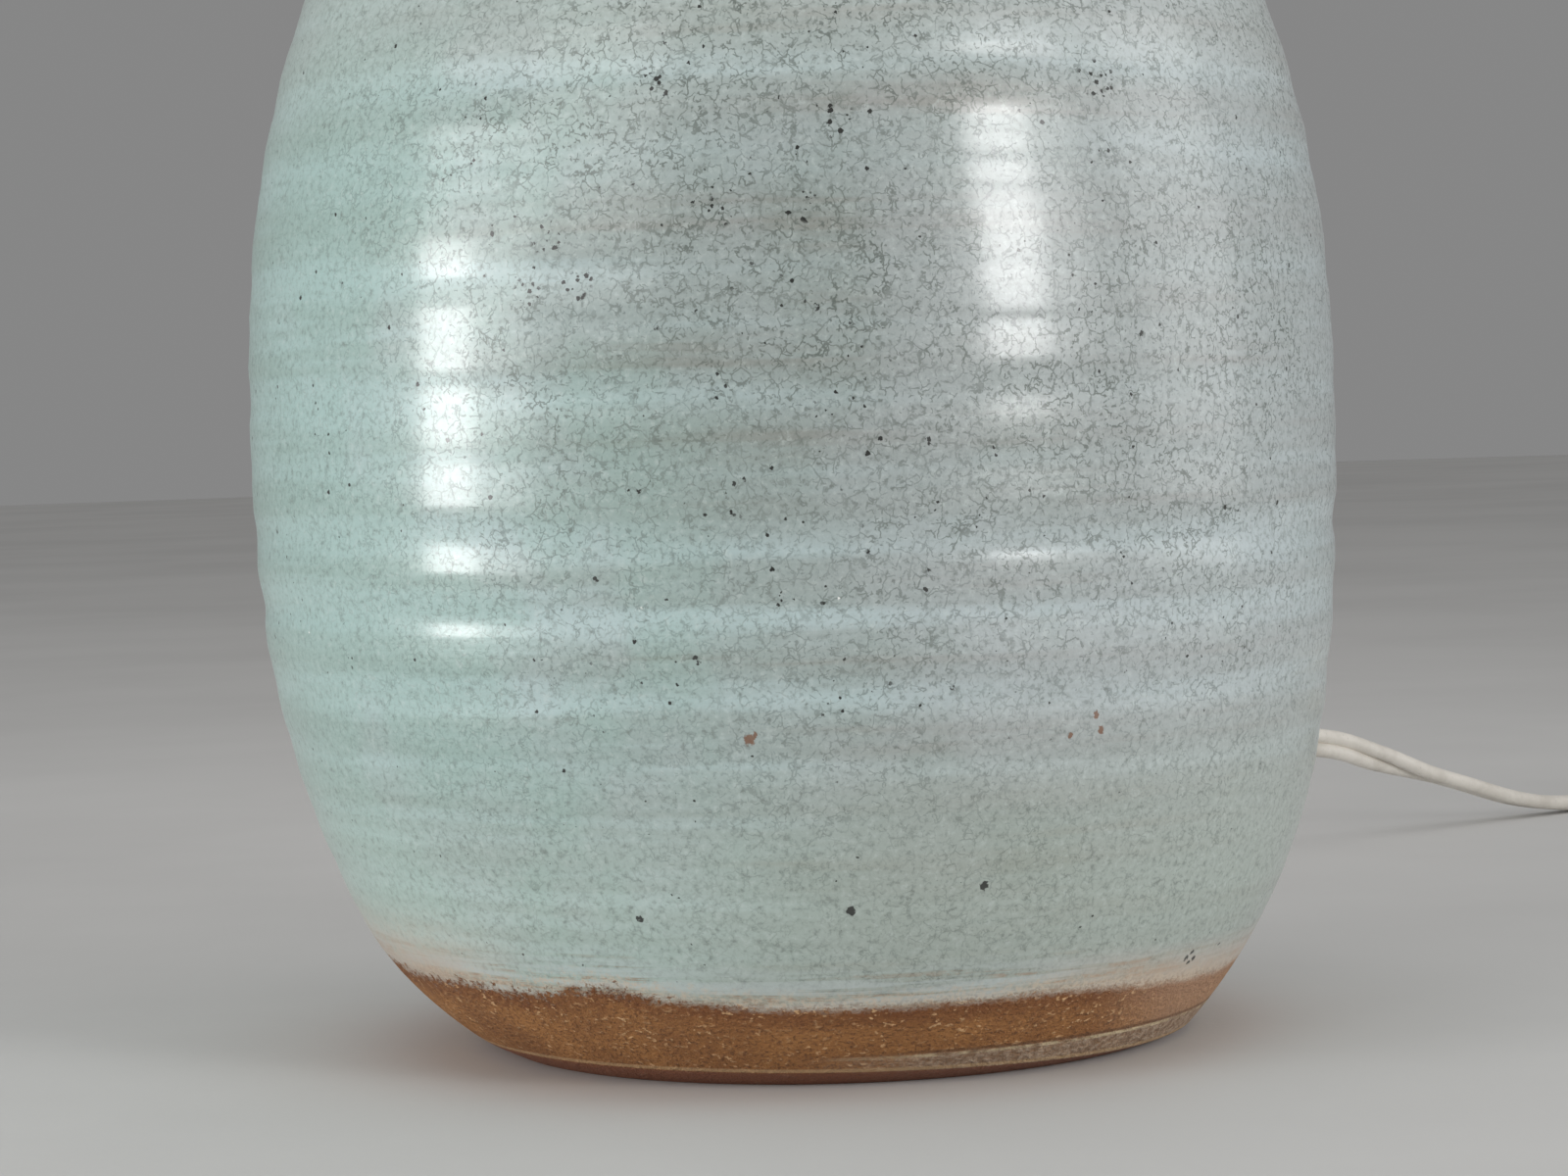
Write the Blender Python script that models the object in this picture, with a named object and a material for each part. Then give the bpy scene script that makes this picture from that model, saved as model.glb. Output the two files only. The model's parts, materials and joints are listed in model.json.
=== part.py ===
"""A ceramic table lamp: a hand-thrown stoneware body, a lampholder on its neck and a twin flex with its plug.

Metres, +Z up. The origin is on the lamp's axis, on the surface that the lamp stands on. The front is
towards -Y, the flex leaves through the back, and the switch knob points to +X.
"""

import math

import bmesh
import bpy
import numpy as np
from mathutils import Vector

# Fits and cuts
GAP = 0.0003
OVERRUN = 0.002

# Numbers of sides, which are counts
BODY_SIDES = 48
ROUND_SIDES = 28
SMALL_SIDES = 20
PIN_SIDES = 12
LOOP_POINTS = 24
ROUTE_STEPS = 20

# Stoneware body, outside
BELLY_RADIUS = 0.097
BELLY_HEIGHT = 0.110
DOME_HEIGHT = 0.1424
BOWL_DEPTH = 0.140
DOME_FULLNESS_SHARE = 2.30
BOWL_FULLNESS_SHARE = 2.58
DOME_STEPS = 10
BOWL_STEPS = 9
NECK_RADIUS = 0.0215
NECK_FILLET = 0.004
NECK_COLLAR = 0.0065
NECK_BORE = 0.015
RIM_EDGE = 0.001

# The foot is trimmed a little off centre, and the whole lower body leans the same way
TRIM_HEIGHT = 0.028
TRIM_DEPTH = 0.0041
TRIM_CURVE_SHARE = 2.4
TRIM_SHIFT = 0.0036
BODY_DRIFT = 0.0018
DRIFT_TOP = 0.085
DRIFT_SPAN = 0.060
CHAMFER_HEIGHT = 0.0022
CHAMFER_WIDTH = 0.0048
FOOT_RING_WIDTH = 0.012
FOOT_RECESS = 0.004
RECESS_TAPER = 0.002

# Stoneware body, inside
WALL = 0.0065
FLOOR_THICKNESS = 0.009
INSIDE_STEPS = 6
FLOOR_COVE = 0.008

# Twin flex and the hole it leaves through
CORD_WIDTH = 0.0072
EXIT_HEIGHT = 0.040
EXIT_HOLE_RADIUS = 0.0056
RELIEF_WALL = 0.0014
RELIEF_FLANGE_RADIUS = 0.0075
RELIEF_FLANGE_THICKNESS = 0.0012
RELIEF_INSIDE_LENGTH = 0.002
RELIEF_LENGTH = 0.022
RELIEF_ROOT_RADIUS = 0.0062
RELIEF_TIP_RADIUS = 0.0047

# Neck fittings
GASKET_THICKNESS = 0.0012
GASKET_WIDTH = 0.005
VASE_CAP_RADIUS = 0.0235
VASE_CAP_SHEET = 0.001
VASE_CAP_SKIRT = 0.0065
VASE_CAP_RISE = 0.005
VASE_CAP_CROWN = 0.012
NIPPLE_RADIUS = 0.0065
NIPPLE_BORE = 0.0047
NIPPLE_BELOW_NUT = 0.006
NIPPLE_ABOVE_HUB = 0.0022
BAR_LENGTH = 0.046
BAR_WIDTH = 0.014
BAR_THICKNESS = 0.003
BAR_END_RADIUS = 0.003
WASHER_RADIUS = 0.0105
WASHER_THICKNESS = 0.0012
NUT_RADIUS = 0.0098
NUT_HEIGHT = 0.004
SPOOL_HEIGHT = 0.014
SPOOL_RADIUS = 0.0105
SPOOL_WAIST = 0.0088
SPOOL_BEAD = 0.0025

# Lampholder
HUB_RADIUS = 0.0095
HUB_HEIGHT = 0.0095
CUP_RADIUS = 0.0175
CUP_SHEET = 0.0009
CUP_SHOULDER = 0.005
CUP_DEPTH = 0.016
CUP_EDGE = 0.002
SET_SCREW_RADIUS = 0.0016
SET_SCREW_HEAD = 0.0014
SHELL_SHEET = 0.0008
SHELL_OVERLAP = 0.007
SHELL_LOWER = 0.0265
SHELL_UPPER = 0.0115
LEDGE_RADIUS = 0.0195
LEDGE_THICKNESS = 0.0016
SHELL_THREAD_RADIUS = 0.0172
SHELL_THREAD_DEPTH = 0.0004
SHELL_THREAD_COUNT = 3
SLEEVE_WALL = 0.0007
SLEEVE_SHORTER = 0.0015
SWITCH_BODY_RADIUS = 0.0127
SWITCH_BODY_HEIGHT = 0.0245
SWITCH_BODY_FLAT = 0.0100
SWITCH_RECESS_RADIUS = 0.008
SWITCH_RECESS_DEPTH = 0.0055
LEAD_NOTCH_WIDTH = 0.0042
SWITCH_BELOW_TOP = 0.0065
SPINDLE_RADIUS = 0.0019
SPINDLE_START = 0.004
SPINDLE_HOLE_CLEARANCE = 0.0012
KNOB_RADIUS = 0.0066
KNOB_TIP_RADIUS = 0.0056
KNOB_LENGTH = 0.0125
KNOB_STANDOFF = 0.0015
KNOB_FLUTE_DEPTH = 0.0006
KNOB_FLUTES = 10
KNOB_EDGE = 0.001
KNOB_WALL = 0.0025
TERMINAL_HEAD_RADIUS = 0.003
TERMINAL_HEAD_THICKNESS = 0.0016
TERMINAL_SHANK_RADIUS = 0.0015
TERMINAL_SHANK_LENGTH = 0.005
TERMINAL_BELOW_TOP = 0.0095
LEAD_RADIUS = 0.0013
LEAD_SPACING = 0.0018
LEAD_RISE = 0.0036
TONGUE_WIDTH = 0.005
TONGUE_LENGTH = 0.011
TONGUE_THICKNESS = 0.0005
TONGUE_RISE = 0.0023

# Screw thread of the lamp bulb and its shell
THREAD_PITCH = 0.00363
THREAD_COUNT = 5
THREAD_ROOT_RADIUS = 0.01225
THREAD_CREST_RADIUS = 0.01305
SCREW_SHELL_SHEET = 0.0005
SCREW_SHELL_HOLE = 0.0062

# Lamp bulb
BULB_CAP_SHEET = 0.0005
BULB_CAP_SKIRT = 0.006
BULB_RADIUS = 0.030
BULB_LENGTH = 0.107
BULB_GLASS = 0.0009
BULB_NECK_RADIUS = 0.0112
BULB_NECK_DEPTH = 0.008
BULB_THROAT_RADIUS = 0.0142
BULB_THROAT_RISE = 0.012
THROAT_STEPS = 4
GLASS_STEPS = 5
CONTACT_RADIUS = 0.0042
CONTACT_HEIGHT = 0.0015
INSULATOR_HEIGHT = 0.0026
STEM_RADIUS = 0.0035
STEM_HEIGHT = 0.030
STEM_FLARE_HEIGHT = 0.006
FILAMENT_WIRE = 0.0005
FILAMENT_SPAN = 0.020
FILAMENT_RISE = 0.012

# Shade ring
RING_RADIUS = 0.0225
RING_COLLAR_RADIUS = 0.0198
RING_FLANGE = 0.0024
RING_HEIGHT = 0.0075
RING_EDGE = 0.0006

# The flex's free stretch, from the strain relief to the coil: points chosen along its visible lie
CORD_ROUTE = (
    (0.0030, 0.1440, 0.0396),
    (0.0160, 0.1740, 0.0382),
    (0.0400, 0.2030, 0.0358),
    (0.0690, 0.2290, 0.0326),
    (0.1000, 0.2540, 0.0288),
    (0.1323, 0.2777, 0.0245),
    (0.1460, 0.2871, 0.0199),
    (0.1600, 0.2966, 0.0147),
    (0.1742, 0.3063, 0.0100),
    (0.1887, 0.3162, 0.0062),
    (0.2036, 0.3264, 0.0041),
    (0.2225, 0.3388, 0.0037),
    (0.2425, 0.3506, 0.0040),
)
# Its stretch inside the body, as shares of the way from the axis to the wall and of the height to the neck
INNER_ROUTE_SHARES = (
    (0.97, 0.0),
    (0.86, 0.005),
    (0.75, 0.024),
    (0.655, 0.07),
    (0.60, 0.139),
    (0.57, 0.241),
    (0.528, 0.375),
    (0.454, 0.525),
    (0.344, 0.675),
    (0.202, 0.80),
    (0.074, 0.89),
    (0.01, 0.96),
    (0.0, 1.0),
)
ROUTE_STEP_SHARE = 2.4

# The coil that the unseen length is wound into, and its tie
COIL_CENTRE_X = 0.283
COIL_CENTRE_Y = 0.316
COIL_RADIUS = 0.0484
COIL_PITCH = 0.0078
COIL_TURNS_SHARE = 6.32
COIL_START_ANGLE = math.radians(108)
COIL_REVERSAL_ANGLE = math.radians(50)
COIL_TAIL = 0.040
TIE_THICKNESS = 0.0008
TIE_WIDTH = 0.008
TIE_ANGLE = math.radians(232)
TIE_SLACK = 0.0008
TIE_CORNER = 0.003

# Plug
PLUG_HALF_HEIGHT = 0.0068
PLUG_HALF_WIDTH = 0.0112
PLUG_BODY_LENGTH = 0.024
PLUG_RELIEF_LENGTH = 0.014
PLUG_RELIEF_RADIUS = 0.0046
PLUG_FACE_EDGE = 0.0012
PLUG_GRIP_SHARE = 0.82
BLADE_SPACING = 0.0127
BLADE_LENGTH = 0.0165
BLADE_WIDTH = 0.0063
BLADE_THICKNESS = 0.0015
BLADE_ROOT = 0.006
BLADE_TIP = 0.0016
BLADE_HOLE_RADIUS = 0.0016
BLADE_HOLE_FROM_TIP = 0.0048

# Finishes: colour, roughness and metallic
GLAZE = ((0.40, 0.48, 0.43), 0.30, 0.0)
BRASS = ((0.72, 0.52, 0.24), 0.28, 1.0)
STEEL = ((0.55, 0.55, 0.56), 0.35, 1.0)
ALUMINIUM = ((0.80, 0.80, 0.81), 0.30, 1.0)
IVORY = ((0.72, 0.68, 0.58), 0.45, 0.0)
RUBBER = ((0.05, 0.05, 0.05), 0.75, 0.0)
PHENOLIC = ((0.035, 0.022, 0.016), 0.30, 0.0)
FIBRE = ((0.30, 0.20, 0.12), 0.80, 0.0)
PORCELAIN = ((0.80, 0.78, 0.74), 0.25, 0.0)
VITRITE = ((0.01, 0.01, 0.012), 0.12, 0.0)
OPAL_GLASS = ((0.90, 0.89, 0.86), 0.20, 0.0)
CLEAR_GLASS = ((0.85, 0.88, 0.88), 0.05, 0.0)
TUNGSTEN = ((0.25, 0.25, 0.26), 0.45, 1.0)
LIVE_SLEEVE = ((0.03, 0.03, 0.03), 0.45, 0.0)
NEUTRAL_SLEEVE = ((0.75, 0.74, 0.70), 0.45, 0.0)
TIE_BLACK = ((0.03, 0.03, 0.035), 0.60, 0.0)

SMOOTH_ANGLE = math.radians(38)
CORD_RADIUS = CORD_WIDTH / 2


def dome_radius(rise, radius, height, fullness):
    """The radius of a rounded wall at a height above or below its widest place."""
    return radius * math.sqrt(1 - (rise / height) ** fullness)


def dome_rise(at_radius, radius, height, fullness):
    """How far from its widest place a rounded wall has a given radius."""
    return height * (1 - (at_radius / radius) ** 2) ** (1 / fullness)


def smooth_step(share):
    share = min(max(share, 0.0), 1.0)
    return share * share * (3 - 2 * share)


# Heights that follow from the sizes above
INSIDE_RADIUS = BELLY_RADIUS - WALL
INSIDE_DOME = DOME_HEIGHT - WALL
INSIDE_BOWL = BOWL_DEPTH - WALL
NECK_ROOT_RADIUS = NECK_RADIUS + NECK_FILLET
NECK_ROOT = BELLY_HEIGHT + dome_rise(NECK_ROOT_RADIUS, BELLY_RADIUS, DOME_HEIGHT, DOME_FULLNESS_SHARE)
RIM_TOP = NECK_ROOT + NECK_FILLET + NECK_COLLAR
FLOOR_TOP = FOOT_RECESS + FLOOR_THICKNESS
GASKET_BOTTOM = RIM_TOP + GAP
CAP_SEAT = GASKET_BOTTOM + GASKET_THICKNESS + GAP
CAP_TOP = CAP_SEAT + VASE_CAP_RISE + VASE_CAP_SHEET
SPOOL_BOTTOM = CAP_TOP + GAP
HUB_BOTTOM = SPOOL_BOTTOM + SPOOL_HEIGHT + GAP
CUP_FLOOR = HUB_BOTTOM + HUB_HEIGHT
CUP_WALL_BOTTOM = CUP_FLOOR + CUP_SHOULDER
CUP_TOP = HUB_BOTTOM + HUB_HEIGHT + CUP_DEPTH
NIPPLE_TOP = CUP_FLOOR + NIPPLE_ABOVE_HUB
SHELL_RADIUS = CUP_RADIUS - CUP_SHEET - GAP
SHELL_BOTTOM = CUP_TOP - SHELL_OVERLAP
LEDGE_TOP = SHELL_BOTTOM + SHELL_LOWER
SHELL_TOP = LEDGE_TOP + SHELL_UPPER
SLEEVE_RADIUS = SHELL_RADIUS - SHELL_SHEET - GAP
SWITCH_BODY_BOTTOM = CUP_FLOOR + CUP_EDGE + GAP
SWITCH_BODY_TOP = SWITCH_BODY_BOTTOM + SWITCH_BODY_HEIGHT
SWITCH_HEIGHT = SWITCH_BODY_TOP - SWITCH_BELOW_TOP
TERMINAL_HEIGHT = SWITCH_BODY_TOP - TERMINAL_BELOW_TOP
SCREW_SHELL_BOTTOM = SWITCH_BODY_TOP + GAP
BULB_BOTTOM = SCREW_SHELL_BOTTOM + TONGUE_RISE + TONGUE_THICKNESS + GAP
INSULATOR_BOTTOM = BULB_BOTTOM + CONTACT_HEIGHT + GAP
BULB_CAP_BOTTOM = INSULATOR_BOTTOM + INSULATOR_HEIGHT + GAP
BULB_THREAD_TOP = BULB_CAP_BOTTOM + THREAD_COUNT * THREAD_PITCH
BULB_CAP_TOP = BULB_THREAD_TOP + BULB_CAP_SKIRT
BULB_TOP = BULB_BOTTOM + BULB_LENGTH
RING_BOTTOM = LEDGE_TOP + GAP
BAR_CORNER_RADIUS = BAR_END_RADIUS + math.hypot(
    BAR_LENGTH / 2 - BAR_END_RADIUS, BAR_WIDTH / 2 - BAR_END_RADIUS
)
BAR_SEAT = BELLY_HEIGHT + dome_rise(BAR_CORNER_RADIUS, INSIDE_RADIUS, INSIDE_DOME, DOME_FULLNESS_SHARE)
BAR_TOP = BAR_SEAT - GAP
WASHER_TOP = BAR_TOP - BAR_THICKNESS - GAP
NUT_TOP = WASHER_TOP - WASHER_THICKNESS - GAP
NIPPLE_BOTTOM = NUT_TOP - NUT_HEIGHT - NIPPLE_BELOW_NUT
FLANGE_FACE = RELIEF_FLANGE_THICKNESS + dome_radius(
    BELLY_HEIGHT - EXIT_HEIGHT - RELIEF_FLANGE_RADIUS, BELLY_RADIUS, BOWL_DEPTH, BOWL_FULLNESS_SHARE
)
WALL_INSIDE = dome_radius(
    BELLY_HEIGHT - EXIT_HEIGHT + EXIT_HOLE_RADIUS, INSIDE_RADIUS, INSIDE_BOWL, BOWL_FULLNESS_SHARE
)
RELIEF_TIP = FLANGE_FACE + RELIEF_LENGTH
COIL_FLOOR = TIE_THICKNESS + 2 * GAP + CORD_RADIUS


def clear_scene():
    for old in list(bpy.data.objects):
        bpy.data.objects.remove(old, do_unlink=True)


def placed(name, data, location=(0, 0, 0), rotation=(0, 0, 0), parent=None):
    piece = bpy.data.objects.new(name, data)
    piece.location = location
    piece.rotation_euler = rotation
    piece.parent = parent
    bpy.context.scene.collection.objects.link(piece)
    return piece


def finish(piece, look):
    """Give a piece a material of its own."""
    colour, roughness, metallic = look
    material = bpy.data.materials.new(piece.name)
    material.use_nodes = True
    shader = material.node_tree.nodes["Principled BSDF"]
    shader.inputs["Base Color"].default_value = (*colour, 1)
    shader.inputs["Roughness"].default_value = roughness
    shader.inputs["Metallic"].default_value = metallic
    piece.data.materials.append(material)
    return piece


def mesh_of(name, bm):
    bmesh.ops.recalc_face_normals(bm, faces=bm.faces)
    mesh = bpy.data.meshes.new(name)
    bm.to_mesh(mesh)
    bm.free()
    mesh.shade_smooth()
    mesh.set_sharp_from_angle(angle=SMOOTH_ANGLE)
    return mesh


def turned_mesh(name, outline, sides):
    """A solid of revolution about Z. Each point of the closed outline is a radius, a height and, where the
    piece leans, a sideways shift. A radius of zero lies on the axis."""
    bm = bmesh.new()
    rings = []
    for radius, height, *shift in outline:
        aside = shift[0] if shift else 0
        if radius == 0:
            rings.append([bm.verts.new((aside, 0, height))])
            continue
        ring = []
        for side in range(sides):
            angle = 2 * math.pi * side / sides
            ring.append(bm.verts.new((aside + radius * math.cos(angle), radius * math.sin(angle), height)))
        rings.append(ring)
    for lower, upper in zip(rings, rings[1:] + rings[:1]):
        if len(lower) == len(upper) == 1:
            continue
        for side in range(sides):
            after = side + 1
            corners = (
                lower[side % len(lower)],
                lower[after % len(lower)],
                upper[after % len(upper)],
                upper[side % len(upper)],
            )
            bm.faces.new(list(dict.fromkeys(corners)))
    return mesh_of(name, bm)


def turned(name, outline, look, sides=ROUND_SIDES, **place):
    return finish(placed(name, turned_mesh(name, outline, sides), **place), look)


def drum(radius, bottom, top):
    """The outline of a plain cylinder."""
    return [(0, top), (radius, top), (radius, bottom), (0, bottom)]


def ring_outline(inner, outer, bottom, top):
    return [(outer, top), (outer, bottom), (inner, bottom), (inner, top)]


def prism_mesh(name, corners, bottom, top):
    """A flat outline in X and Y, raised from one height to another."""
    bm = bmesh.new()
    lower = [bm.verts.new((x, y, bottom)) for x, y in corners]
    upper = [bm.verts.new((x, y, top)) for x, y in corners]
    bm.faces.new(lower)
    bm.faces.new(upper)
    for i in range(len(corners)):
        after = (i + 1) % len(corners)
        bm.faces.new((lower[i], lower[after], upper[after], upper[i]))
    return mesh_of(name, bm)


def block_corners(length, width):
    return [
        (length / 2, width / 2),
        (-length / 2, width / 2),
        (-length / 2, -width / 2),
        (length / 2, -width / 2),
    ]


def rounded_corners(length, width, corner, steps):
    """A rectangle's outline with round corners."""
    points = []
    for quarter, (across, along) in enumerate(((1, 1), (-1, 1), (-1, -1), (1, -1))):
        for step in range(steps + 1):
            angle = math.pi / 2 * (quarter + step / steps)
            points.append(
                (
                    across * (length / 2 - corner) + corner * math.cos(angle),
                    along * (width / 2 - corner) + corner * math.sin(angle),
                )
            )
    return points


def helper(name, mesh, **place):
    """A body that only cuts or joins another."""
    tool = placed(name, mesh, **place)
    tool.hide_render = True
    tool.display_type = "WIRE"
    return tool


def combine(piece, tool, operation):
    step = piece.modifiers.new(tool.name, "BOOLEAN")
    step.operation = operation
    step.object = tool
    step.solver = "EXACT"


def cut(piece, tool):
    combine(piece, tool, "DIFFERENCE")


def drill(piece, name, radius, start, end, sides=SMALL_SIDES, **place):
    """Cut a round hole along the Z axis of the place given."""
    cut(piece, helper(name, turned_mesh(name, drum(radius, start, end), sides), **place))


def smooth_route(points, step):
    """Points at an even step along a smooth curve through the route's own points."""
    route = np.array(points, float)
    route = np.vstack([2 * route[0] - route[1], route, 2 * route[-1] - route[-2]])
    fine = []
    for i in range(1, len(route) - 2):
        before, start, end, after = route[i - 1 : i + 3]
        for share in np.linspace(0, 1, ROUTE_STEPS, endpoint=False):
            fine.append(
                start
                + (end - before) * share / 2
                + (before - 2.5 * start + 2 * end - after / 2) * share**2
                + (-before / 2 + 1.5 * start - 1.5 * end + after / 2) * share**3
            )
    fine = np.array(fine + [route[-2]])
    along = np.concatenate([[0], np.cumsum(np.linalg.norm(np.diff(fine, axis=0), axis=1))])
    count = max(2, round(along[-1] / step))
    stations = np.linspace(0, along[-1], count + 1)
    return [tuple(float(np.interp(s, along, fine[:, axis])) for axis in range(3)) for s in stations]


def tube(name, points, radius, look, roundness=2, **place):
    """A round wire or cord along a list of points."""
    curve = bpy.data.curves.new(name, "CURVE")
    curve.dimensions = "3D"
    curve.bevel_depth = radius
    curve.bevel_resolution = roundness
    curve.use_fill_caps = True
    spline = curve.splines.new("POLY")
    spline.points.add(len(points) - 1)
    for point, place_at in zip(spline.points, points):
        point.co = (*place_at, 1)
    return finish(placed(name, curve, **place), look)


def length_of(points):
    return sum(math.dist(a, b) for a, b in zip(points, points[1:]))


def outside_outline(extra):
    """The body's outer wall from the neck root to the chamfer, as radius, height and sideways shift."""
    top_angle = math.acos(NECK_ROOT_RADIUS / BELLY_RADIUS)
    foot_angle = math.asin(((BELLY_HEIGHT - CHAMFER_HEIGHT) / BOWL_DEPTH) ** (BOWL_FULLNESS_SHARE / 2))
    points = []
    for step in range(DOME_STEPS):
        angle = top_angle * (1 - step / DOME_STEPS)
        rise = DOME_HEIGHT * math.sin(angle) ** (2 / DOME_FULLNESS_SHARE)
        points.append((extra + BELLY_RADIUS * math.cos(angle), BELLY_HEIGHT + rise, 0))
    for step in range(BOWL_STEPS + 1):
        angle = foot_angle * step / BOWL_STEPS
        height = BELLY_HEIGHT - BOWL_DEPTH * math.sin(angle) ** (2 / BOWL_FULLNESS_SHARE)
        points.append(trimmed(extra + BELLY_RADIUS * math.cos(angle), height))
    return points


def trimmed(radius, height):
    """A point of the lower wall, turned away near the foot and shifted as the body leans."""
    share = max(0.0, 1 - height / TRIM_HEIGHT) ** TRIM_CURVE_SHARE
    drift = BODY_DRIFT * smooth_step((DRIFT_TOP - height) / DRIFT_SPAN)
    return radius - TRIM_DEPTH * share, height, drift + TRIM_SHIFT * share


def body_outline():
    """The section of the hollow body: down the outside, across the foot, and up the inside to the rim."""
    rim = [
        (NECK_BORE, RIM_TOP),
        (NECK_RADIUS - RIM_EDGE, RIM_TOP),
        (NECK_RADIUS, RIM_TOP - RIM_EDGE),
        (NECK_RADIUS, NECK_ROOT + NECK_FILLET),
        (
            NECK_ROOT_RADIUS - NECK_FILLET * math.sin(math.pi / 4),
            NECK_ROOT + NECK_FILLET - NECK_FILLET * math.cos(math.pi / 4),
        ),
    ]
    outside = outside_outline(0)
    edge_radius, _, edge_shift = outside[-1]
    foot_radius = edge_radius - CHAMFER_WIDTH
    ring_inside = foot_radius - FOOT_RING_WIDTH
    foot = [
        (foot_radius, 0, edge_shift),
        (ring_inside, 0, edge_shift),
        (ring_inside - RECESS_TAPER, FOOT_RECESS, edge_shift),
        (0, FOOT_RECESS, edge_shift),
    ]
    floor_radius = dome_radius(BELLY_HEIGHT - FLOOR_TOP, INSIDE_RADIUS, INSIDE_BOWL, BOWL_FULLNESS_SHARE)
    inside = [(0, FLOOR_TOP), (floor_radius - FLOOR_COVE, FLOOR_TOP)]
    cove_top = FLOOR_TOP + FLOOR_COVE
    for step in range(INSIDE_STEPS):
        height = cove_top + (BELLY_HEIGHT - cove_top) * step / INSIDE_STEPS
        radius = dome_radius(BELLY_HEIGHT - height, INSIDE_RADIUS, INSIDE_BOWL, BOWL_FULLNESS_SHARE)
        inside.append((radius, height))
    bar_angle = math.acos(BAR_CORNER_RADIUS / INSIDE_RADIUS)
    bore_angle = math.acos(NECK_BORE / INSIDE_RADIUS)
    for angle in [bar_angle * step / INSIDE_STEPS for step in range(INSIDE_STEPS + 1)] + [bore_angle]:
        rise = INSIDE_DOME * math.sin(angle) ** (2 / DOME_FULLNESS_SHARE)
        inside.append((INSIDE_RADIUS * math.cos(angle), BELLY_HEIGHT + rise))
    return rim + outside + foot + inside


def make_body():
    body = turned("ceramic_body", body_outline(), GLAZE, BODY_SIDES)
    drill(
        body,
        "exit_hole",
        EXIT_HOLE_RADIUS,
        WALL_INSIDE - WALL,
        FLANGE_FACE + OVERRUN,
        location=(0, 0, EXIT_HEIGHT),
        rotation=(-math.pi / 2, 0, 0),
    )


def make_strain_relief():
    """A rubber bush in the exit hole, with a flange that fits the wall and a tapered sleeve on the flex."""
    place = {"location": (0, 0, EXIT_HEIGHT), "rotation": (-math.pi / 2, 0, 0)}
    inner_end = WALL_INSIDE - RELIEF_INSIDE_LENGTH
    flange = drum(RELIEF_FLANGE_RADIUS, inner_end, FLANGE_FACE)
    relief = turned("cord_strain_relief", flange, IVORY, SMALL_SIDES, **place)
    envelope = outside_outline(GAP)
    inner_wall = [(0, envelope[-1][1]), (0, envelope[0][1])]
    cut(relief, helper("wall_envelope", turned_mesh("wall_envelope", envelope + inner_wall, BODY_SIDES)))
    sleeve = [
        (0, RELIEF_TIP),
        (RELIEF_TIP_RADIUS, RELIEF_TIP),
        (RELIEF_ROOT_RADIUS, FLANGE_FACE),
        (CORD_RADIUS + RELIEF_WALL + GAP, FLANGE_FACE - RELIEF_FLANGE_THICKNESS),
        (CORD_RADIUS + RELIEF_WALL + GAP, inner_end),
        (0, inner_end),
    ]
    sleeve_mesh = turned_mesh("relief_sleeve", sleeve, SMALL_SIDES)
    combine(relief, helper("relief_sleeve", sleeve_mesh, **place), "UNION")
    drill(
        relief,
        "relief_bore",
        CORD_RADIUS + GAP,
        inner_end - OVERRUN,
        RELIEF_TIP + OVERRUN,
        **place,
    )


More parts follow.
